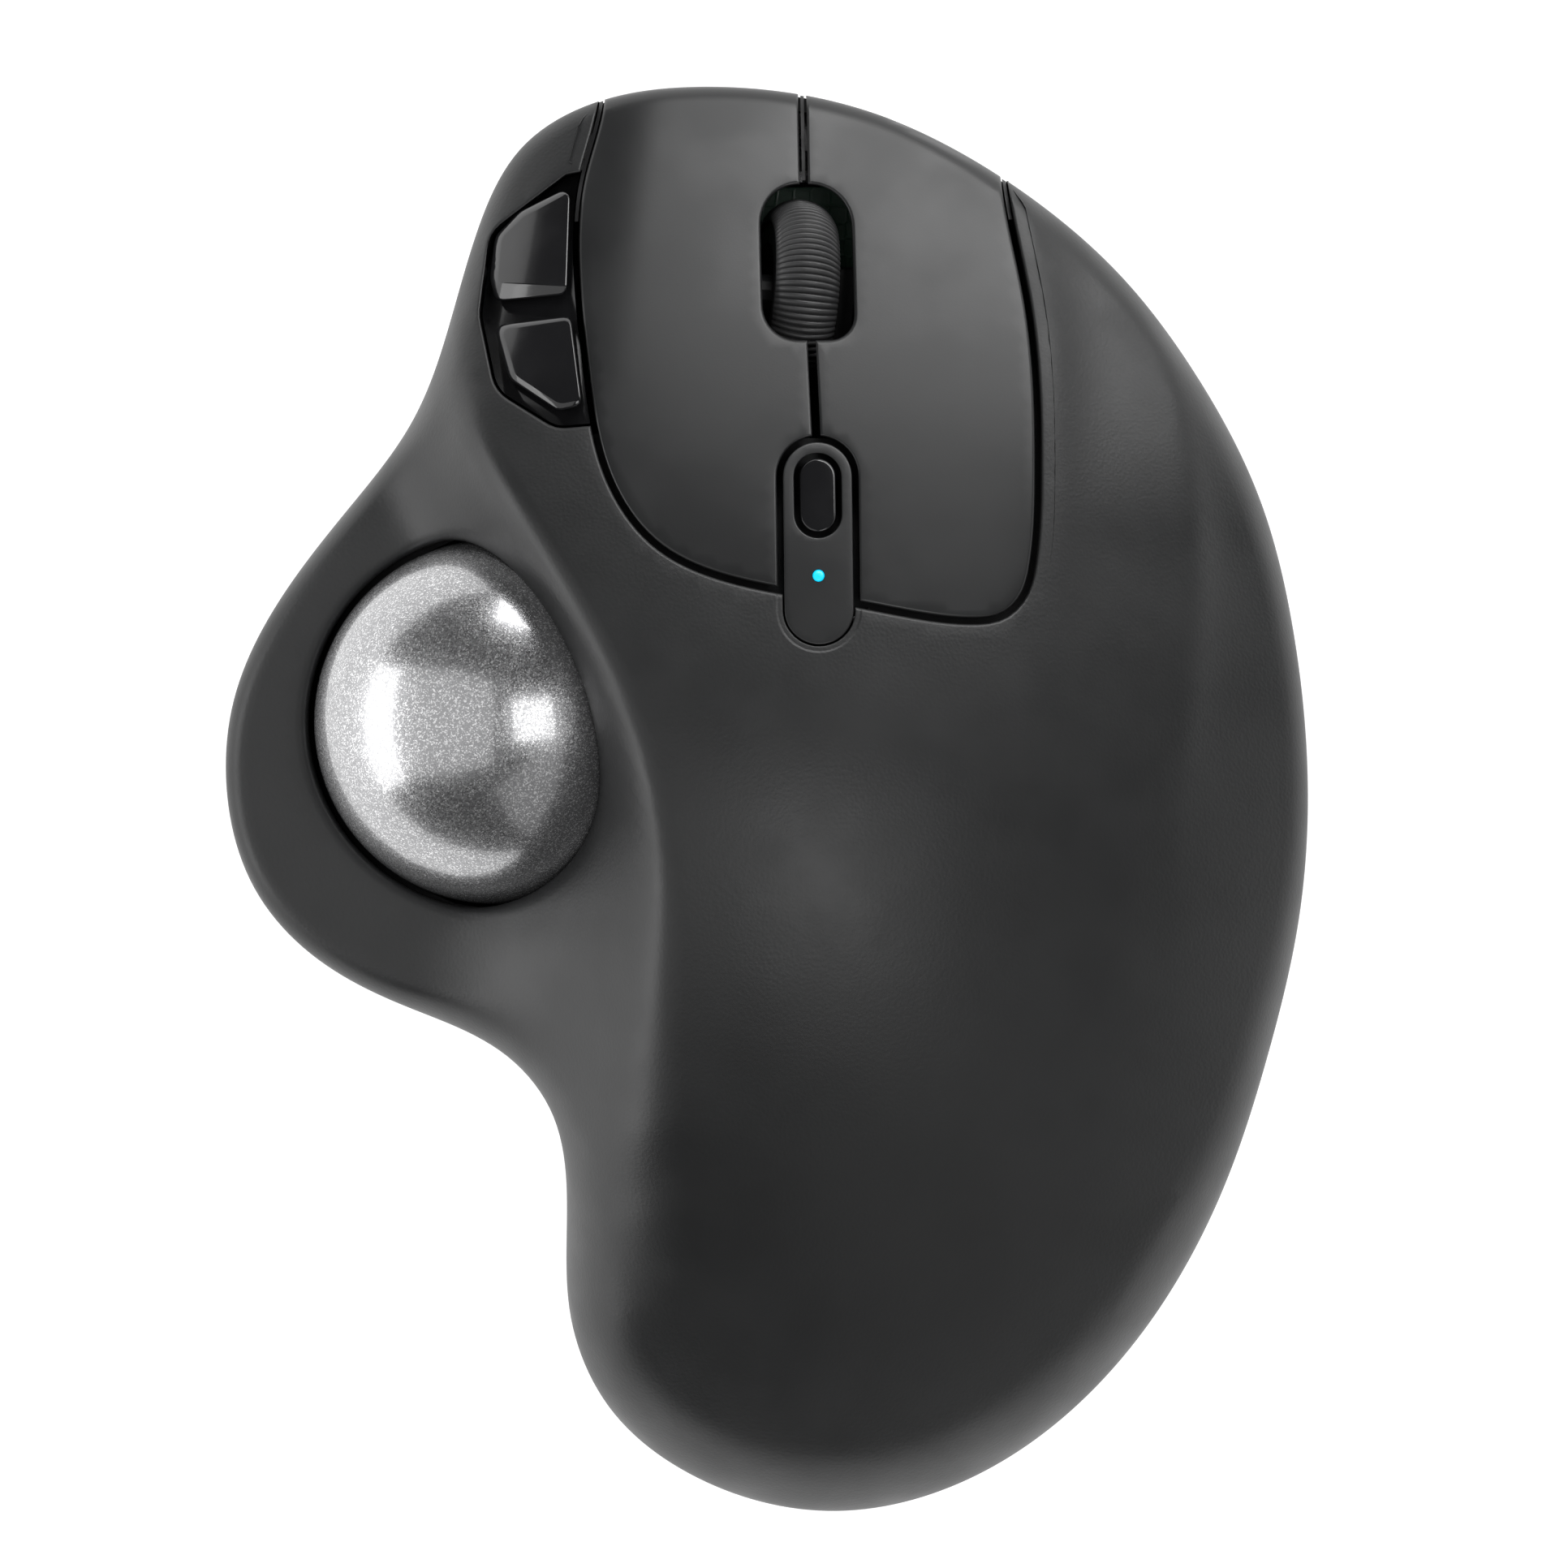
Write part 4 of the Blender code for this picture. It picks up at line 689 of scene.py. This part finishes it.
def plain(name, colour, roughness, metallic=0.0, grain=0.0004, coat=0.0):
    """A small part's plastic or metal, with faint blotches and a fine tooth."""
    s = Surface(name, colour, roughness, metallic, coat)
    s.vary(0.003, 0.10, min(0.05, roughness / 2))
    s.normal(s.bump(s.noise(grain, 3.0), 0.15, 0.00002))
    return s.material


def light_clear():
    s = Surface("light_clear", (0.02, 0.30, 0.40), 0.30)
    s.vary(0.0006, 0.1, 0.05)
    s.put("Emission Color", (0.0, 0.65, 1.0, 1.0))
    s.put("Emission Strength", 0.95)
    return s.material


def board_green():
    s = Surface("board_green", (0.008, 0.045, 0.022), 0.35)
    s.vary(0.004, 0.2, 0.05)
    traces = s.ramp(s.cells(0.0016, "DISTANCE_TO_EDGE", "Distance", 0.3), 0.02, 0.10, 1.0, 0.0)
    s.normal(s.bump(traces, 0.4, 0.00004))
    return s.material


MATERIALS = {
    "shell_grain": shell_grain(),
    "cover_satin": cover_satin(),
    "gloss_black": gloss_black(),
    "inner_black": inner_black(),
    "wheel_rubber": wheel_rubber(),
    "foot_rubber": foot_rubber(),
    "ball_silver": ball_silver(),
    "light_clear": light_clear(),
    "board_green": board_green(),
    "bearing_white": plain("bearing_white", (0.80, 0.79, 0.76), 0.12, coat=0.5),
    "sensor_window": plain("sensor_window", (0.10, 0.01, 0.01), 0.08, coat=1.0),
    "chip_black": plain("chip_black", (0.02, 0.02, 0.022), 0.45),
    "plunger_white": plain("plunger_white", (0.75, 0.75, 0.72), 0.40),
    "port_metal": plain("port_metal", (0.62, 0.62, 0.63), 0.25, 1.0),
    "battery_foil": plain("battery_foil", (0.35, 0.36, 0.38), 0.35, 0.3, 0.0012),
    "slider_red": plain("slider_red", (0.55, 0.05, 0.05), 0.35),
    "screw_steel": plain("screw_steel", (0.55, 0.55, 0.56), 0.30, 1.0),
}
SLOT_OF = {entry["node"]: entry["material_slot"] for entry in frame["record"]["subparts"]}
for node, thing in frame["nodes"].items():
    thing.data.materials.clear()
    thing.data.materials.append(MATERIALS[SLOT_OF[node]])


# ---------------------------------------------------------------- covers
SKIN = Skin(LINE_STEP)
CLICK = Line(smooth_line(CLICK_POINTS, LINE_STEP, closed=True))
POCKET = Line(rounded_polygon(POCKET_CORNERS, LINE_STEP * 0.7))
CENTRE = Line(spaced(CENTRE_LINE_POINTS, LINE_STEP, False), closed=False)
SLOT = Line(rounded_polygon(WHEEL_SLOT_CORNERS, 0.5))
ISLAND_LINE = Line(capsule(ISLAND, 0.5))
RIM = Line(SKIN.ball_rim(LINE_STEP))


def tuck(edge_z, z):
    """How far the side wall leans in at a height, below the skin's edge."""
    share = np.clip((edge_z - z) / (edge_z - PARTING_Z), 0, 1)
    return SKIRT_INSET * share**2


def shell_walls(plan, top, edges):
    """Rows of points under each edge vertex of the shell's cap."""
    rows = {}
    bx, by, bz = BALL_CENTRE
    outline_away, inward = SKIN.outline.nearest(plan)
    rim_away = np.abs(RIM.distance(plan))
    for index in sorted({a for a, _ in edges}):
        x, y = plan[index]
        z = top[index]
        if abs(outline_away[index]) < OUTLINE_NEAR:
            levels = z + (min(CHIN_TOP, z - CHIN_DROP) - z) * np.array(CHIN_SHARES)
            nx, ny = inward[index]
            rows[index] = [(x + nx * t, y + ny * t, h) for h, t in zip(levels, tuck(z, levels))]
        elif rim_away[index] < RIM_NEAR:
            out = np.array((x - bx, y - by))
            reach = np.hypot(*out)
            out /= reach
            made = []
            for down in RIM_DEPTHS:
                h = z - down
                sphere = math.sqrt(max((BALL_RADIUS + BALL_CLEARANCE) ** 2 - (h - bz) ** 2, 0))
                r = max(reach, sphere)
                made.append((bx + out[0] * r, by + out[1] * r, h))
            rows[index] = made
        else:
            rows[index] = [(x, y, z - down) for down in OPENING_DEPTHS]
    return rows


def add_skirt(bm):
    """The outer side wall, from the chin down to the parting line."""
    ring = SKIN.outline.points
    edge_z = SKIN.height(ring)
    _, inward = SKIN.outline.nearest(ring)
    bands = []
    start = np.minimum(CHIN_TOP, edge_z - CHIN_DROP)
    for share in np.linspace(0, 1, 6):
        level = start + (PARTING_Z - start) * share
        foot = ring + inward * tuck(edge_z, level)[:, None]
        bands.append([bm.verts.new((x, y, z)) for (x, y), z in zip(foot, level)])
    for high, low in zip(bands, bands[1:]):
        for i in range(len(ring)):
            j = (i + 1) % len(ring)
            bm.faces.new((high[j], high[i], low[i], low[j]))


def give_wall(thing, spots):
    """The shell's thickness, thinner beside the pocket and where the shell tapers to the outline."""
    room = np.clip(SKIN.outline.distance(spots) / (WALL_ROOM * SHELL_WALL), LEAST_WALL_SHARE, 1)
    by_click = np.abs(CLICK.distance(spots) + COVER_GAP) < EDGE_BAND
    by_pocket = np.abs(POCKET.distance(spots) + POCKET_GAP) < EDGE_BAND
    share = np.where(by_click, room, 1.0)
    share = np.where(by_pocket, LEAST_WALL_SHARE, share)
    group = thing.vertex_groups.new(name="wall")
    for index, weight in enumerate(share.tolist()):
        group.add([index], weight, "REPLACE")
    wall = thing.modifiers.new("wall", "SOLIDIFY")
    wall.thickness = SHELL_WALL * MM
    wall.offset = -1.0
    wall.vertex_group = "wall"


def open_port(thing):
    """Cuts the charging port's mouth through the nose."""
    ring = [(x * MM, z * MM) for x, z in capsule(PORT_MOUTH, 0.4)]
    bm = bmesh.new()
    near, far = ([bm.verts.new((x, y * MM, z)) for x, z in ring] for y in PORT_CUT)
    for i in range(len(ring)):
        j = (i + 1) % len(ring)
        bm.faces.new((near[i], near[j], far[j], far[i]))
    bm.faces.new(near[::-1])
    bm.faces.new(far)
    bmesh.ops.recalc_face_normals(bm, faces=bm.faces)
    cutter = linked("port_cutter", mesh_of("port_cutter", bm))
    cut = thing.modifiers.new("port", "BOOLEAN")
    cut.operation = "DIFFERENCE"
    cut.solver = "FAST"
    cut.object = cutter
    graph = bpy.context.evaluated_depsgraph_get()
    opened = bpy.data.meshes.new_from_object(thing.evaluated_get(graph))
    thing.modifiers.clear()
    thing.data = opened
    opened.set_sharp_from_angle(angle=math.radians(COVER_SHARP))
    bpy.data.objects.remove(cutter)


def top_shell():
    """The cap with rounded openings, its walls and the skirt all round, given thickness."""
    skin = SKIN
    rules = [(skin.outline, 1, 0.0, 0), (CLICK, -1, COVER_GAP, 0.3), (POCKET, -1, POCKET_GAP, 0.3),
             (ISLAND_LINE, -1, -0.15, 0.12), (RIM, -1, 0.0, 1.3)]
    rims = [Line(skin.outline.moved(inset)) for inset in (0.03, 0.12, 0.3, 0.6, 1.0, 1.5, 2.2, 3.2)]
    rims += [Line(ISLAND_LINE.moved(-ISLAND_RING - extra)) for extra in (-0.15, -0.05, 0.05, 0.15)]
    region = Region(rules, rims)
    plan, faces = region.mesh(SHELL_STEP)
    ring_share = np.clip((ISLAND_LINE.distance(plan) + ISLAND_RING + 0.05) / 0.1, 0, 1)
    top = skin.height(plan) - region.rounded_drop(plan) - ISLAND_RING_DEPTH * ring_share
    edges = outer_edges(faces)
    rows = shell_walls(plan, top, edges)
    bm = bmesh.new()
    upper = [bm.verts.new((x, y, z)) for (x, y), z in zip(plan, top)]
    chains = {i: [upper[i], *(bm.verts.new(p) for p in made)] for i, made in rows.items()}
    for a, b, c in faces.tolist():
        bm.faces.new((upper[a], upper[b], upper[c]))
    for a, b in edges:
        for k in range(len(OPENING_DEPTHS)):
            bm.faces.new((chains[b][k], chains[a][k], chains[a][k + 1], chains[b][k + 1]))
    add_skirt(bm)
    bmesh.ops.remove_doubles(bm, verts=bm.verts, dist=OUTLINE_NEAR)
    spots = np.array([vertex.co[:2] for vertex in bm.verts])
    thing = piece("top_shell_skin", bm, MATERIALS["shell_grain"], "case", ["top_shell"],
                  COVER_SHARP)
    give_wall(thing, spots)
    open_port(thing)
    return thing


def click_cover(name, node, side):
    """One click cover with rounded edges and the apron that turns down over the front."""
    skin = SKIN
    rules = [(skin.outline, 1, 0.0, 0), (CLICK, 1, COVER_GAP, 0.3), (CENTRE, side, CENTRE_GAP, 0.25),
             (SLOT, -1, 0.0, 0.35), (ISLAND_LINE, -1, COVER_GAP, 0.25)]
    rims = [Line(skin.outline.moved(inset)) for inset in (0.03, 0.12, 0.3, 0.6, 1.0, 1.5, 2.1)]
    region = Region(rules, rims)
    plan, faces = region.mesh(COVER_STEP)
    edge_z = skin.height(plan)
    top = edge_z - region.rounded_drop(plan)
    away, inward = skin.outline.nearest(plan)
    bottom = skin.height(plan) - COVER_SKIN * np.minimum(skin.steepness(plan), STEEPEST)
    bottom = np.minimum(bottom, top - 0.5)
    bottom = np.where(away < APRON_THICKNESS, APRON_BOTTOM, bottom)
    shift = np.where(away < 0.01, tuck(edge_z, APRON_BOTTOM), 0)[:, None]
    bm = slab(plan, faces, top, bottom, plan + inward * shift)
    return piece(name, bm, MATERIALS["cover_satin"], node, [node], COVER_SHARP)


def simple_cover(name, rules, thickness, step, lift, slot, body, nodes, crown=0.0, face=None, bow=0.0):
    """A small cover with rounded edges, lifted or sunk, sloping down outside its face line if it has one."""
    region = Region(rules, [] if face is None else [face, Line(face.moved(0.12))])
    plan, faces = region.mesh(step)
    steep = np.minimum(SKIN.steepness(plan), STEEPEST)
    base = SKIN.height(plan) + lift * steep
    top = base - region.rounded_drop(plan)
    if face is not None:
        top = top - KEY_SLOPE * np.maximum(-face.distance(plan), 0)
    top = top - bow * (plan[:, 0].max() - plan[:, 0]) ** 2
    if crown:
        away = rules[0][0].distance(plan)
        top = top + crown * (1 - (1 - np.clip(away / away.max(), 0, 1)) ** 2)
    bottom = np.minimum(base - thickness * steep, top - 0.3)
    bm = slab(plan, faces, top, bottom)
    return piece(name, bm, MATERIALS[slot], body, nodes, COVER_SHARP)


def trackball():
    bm = bmesh.new()
    bmesh.ops.create_uvsphere(bm, u_segments=128, v_segments=96, radius=BALL_RADIUS)
    moved_by(bm, Matrix.Translation(BALL_CENTRE))
    return piece("trackball_skin", bm, MATERIALS["ball_silver"], "trackball", ["trackball"])


def wheel_frame():
    """A frame at the wheel's centre whose Z is the axle."""
    turn = Matrix.Rotation(WHEEL_YAW, 4, "Z") @ Matrix.Rotation(WHEEL_LEAN + math.pi / 2, 4, "Y")
    return Matrix.Translation(WHEEL_CENTRE) @ turn


def wheel_tyre():
    """The rubber tread, crowned in an arc across its width, with its cross ribs."""
    h, core = WHEEL_WIDTH / 2, WHEEL_RADIUS - 2.2
    arc = (h**2 + WHEEL_CROWN**2) / (2 * WHEEL_CROWN)
    profile = [(core, -h)]
    for share in np.linspace(-1, 1, 15):
        across = share * h
        profile.append((WHEEL_RADIUS - arc + math.sqrt(arc**2 - across**2), across))
    profile.append((core, h))
    bm = lathe(profile, WHEEL_RIBS * RIB_SAMPLES)
    for vertex in bm.verts:
        radius = math.hypot(vertex.co.x, vertex.co.y)
        if radius > core + 0.1:
            turn = math.atan2(vertex.co.y, vertex.co.x)
            rib = abs(math.cos(turn * WHEEL_RIBS / 2)) ** 0.6
            scale = 1 - RIB_DEPTH * (1 - rib) / radius
            vertex.co.x *= scale
            vertex.co.y *= scale
    moved_by(bm, wheel_frame())
    return piece("wheel_tyre_ribs", bm, MATERIALS["wheel_rubber"], "wheel", ["wheel_tyre"],
                 TYRE_SHARP)


def edge_fin(name, line, first_y):
    """A thin fin of the case that closes a gap between covers, from the outline back to first_y."""
    half = FIN_WIDTH / 2
    rules = [(SKIN.outline, 1, 0.1, 0), (SLOT, -1, 0.4, 0), (line, 1, -half, 0), (line, -1, -half, 0)]
    plan, faces = Region(rules).mesh(0.3)
    used, index = np.unique(faces[plan[faces].mean(1)[:, 1] > first_y], return_inverse=True)
    plan, faces = plan[used], index.reshape(-1, 3)
    bm = slab(plan, faces, SKIN.height(plan) - FIN_DEPTH, np.full(len(plan), APRON_BOTTOM))
    return piece(name, bm, MATERIALS["inner_black"], "case", [])


def island_pieces():
    """The plate behind the wheel, its speed cap and its light."""
    cap = Line(capsule(DPI_CAP, 0.3))
    well = Line(capsule(DPI_WELL, 0.3))
    light = Line(circle(*STATUS_LIGHT[:2], LIGHT_HOLE))
    lens = Line(circle(*STATUS_LIGHT[:2], STATUS_LIGHT[2]))
    plate = [(ISLAND_LINE, 1, COVER_GAP, 0.14), (well, -1, 0.0, 0.12), (light, -1, 0.0, 0)]
    simple_cover("island_cover", plate, 1.8, 0.5, 0.0, "cover_satin", "case", ["island_plate"])
    simple_cover("dpi_cap", [(cap, 1, 0.0, 0.2)], 2.0, 0.3, 0.35, "gloss_black",
                 "dpi_button", ["dpi_button"], bow=CAP_BOW)
    simple_cover("status_lens", [(lens, 1, 0.0, 0.15)], 2.0, 0.15, -0.05, "light_clear",
                 "case", ["status_light"], crown=0.1)


def side_key(name, node, corners, face):
    border = Line(rounded_polygon(corners, KEY_STEP))
    simple_cover(name, [(border, 1, 0.0, 0.2)], 1.9, 0.4, 0.5, "gloss_black", node, [node],
                 face=Line(rounded_polygon(face, KEY_STEP)), bow=KEY_BOW)


def build_covers():
    top_shell()
    click_cover("left_cover", "left_button", 1)
    click_cover("right_cover", "right_button", -1)
    island_pieces()
    simple_cover("side_tray", [(POCKET, 1, 0.0, 0.0), (CLICK, -1, COVER_GAP, 0.0)], 1.0, 0.8, -2.2,
                 "gloss_black", "case", ["side_bezel"])
    side_key("forward_key", "side_button_front", FORWARD_CORNERS, FORWARD_FACE)
    side_key("back_key", "side_button_back", BACK_CORNERS, BACK_FACE)
    edge_fin("nose_fin", CENTRE, CENTRE_LINE_POINTS[3][1])
    edge_fin("side_fins", CLICK, SIDE_FIN_START)
    trackball()
    wheel_tyre()


# ---------------------------------------------------------------- stage, lights, camera
VIEW_WIDTH, CAMERA_DISTANCE = 0.1459, 4.0
CAMERA_OVER = (0.0016, 0.0014)
SENSOR_WIDTH = 36.0
TARGET_HEIGHT = 0.02
FLOOR_GAP = 0.0002
LIGHT_REACH = 0.9
FLOOR_GLOW = 1.0
WORLD_GLOW = 0.02
# Each soft light: name, heading from +X and rise in degrees, width and height in metres, watts.
LIGHTS = [
    ("left_wall", 180, 50, (1.1, 1.35), 3.9),
    ("left_low", 182, 10, (1.0, 0.35), 3.4),
    ("front_key", 66, 17, (0.8, 0.3), 5.0),
    ("right_top", 5, 68, (0.42, 0.42), 1.9),
    ("rear_right", 315, 35, (1.2, 0.8), 1.2),
]


def soft_light(name, heading, rise, size, power):
    data = bpy.data.lights.new(name, "AREA")
    data.shape = "RECTANGLE"
    data.size, data.size_y = size
    data.energy = power
    lamp = linked(name, data)
    turn, lift = math.radians(heading), math.radians(rise)
    target = Vector((0, 0, TARGET_HEIGHT))
    out = Vector((math.cos(lift) * math.cos(turn), math.cos(lift) * math.sin(turn), math.sin(lift)))
    lamp.location = target + LIGHT_REACH * out
    lamp.rotation_euler = out.to_track_quat("Z", "Y").to_euler()


def floor_white():
    """A plain white table, evenly lit from within."""
    s = Surface("floor_white", (0.25, 0.25, 0.25), 0.8, specular=0.1)
    s.put("Emission Color", (1, 1, 1, 1))
    s.put("Emission Strength", FLOOR_GLOW)
    return s.material


def stage():
    bm = bmesh.new()
    bmesh.ops.create_grid(bm, x_segments=1, y_segments=1, size=3.0)
    floor = linked("floor", mesh_of("floor", bm))
    floor.location = (0, 0, -FLOOR_GAP)
    floor.data.materials.append(floor_white())

    for name, heading, rise, size, power in LIGHTS:
        soft_light(name, heading, rise, size, power)

    world = bpy.data.worlds.new("studio")
    bpy.context.scene.world = world
    world.use_nodes = True
    world.node_tree.nodes["Background"].inputs["Color"].default_value = (1, 1, 1, 1)
    world.node_tree.nodes["Background"].inputs["Strength"].default_value = WORLD_GLOW


def camera():
    """A camera straight above, far enough for an almost parallel view."""
    data = bpy.data.cameras.new("camera")
    data.sensor_width = SENSOR_WIDTH
    data.lens = SENSOR_WIDTH * CAMERA_DISTANCE / VIEW_WIDTH
    data.clip_start, data.clip_end = 0.05, 20.0
    cam = linked("camera", data)
    cam.location = (*CAMERA_OVER, CAMERA_DISTANCE + TARGET_HEIGHT)
    cam.rotation_euler = (0, 0, 0)
    bpy.context.scene.camera = cam
    bpy.context.scene.view_settings.view_transform = "Standard"


camera()
stage()
build_covers()
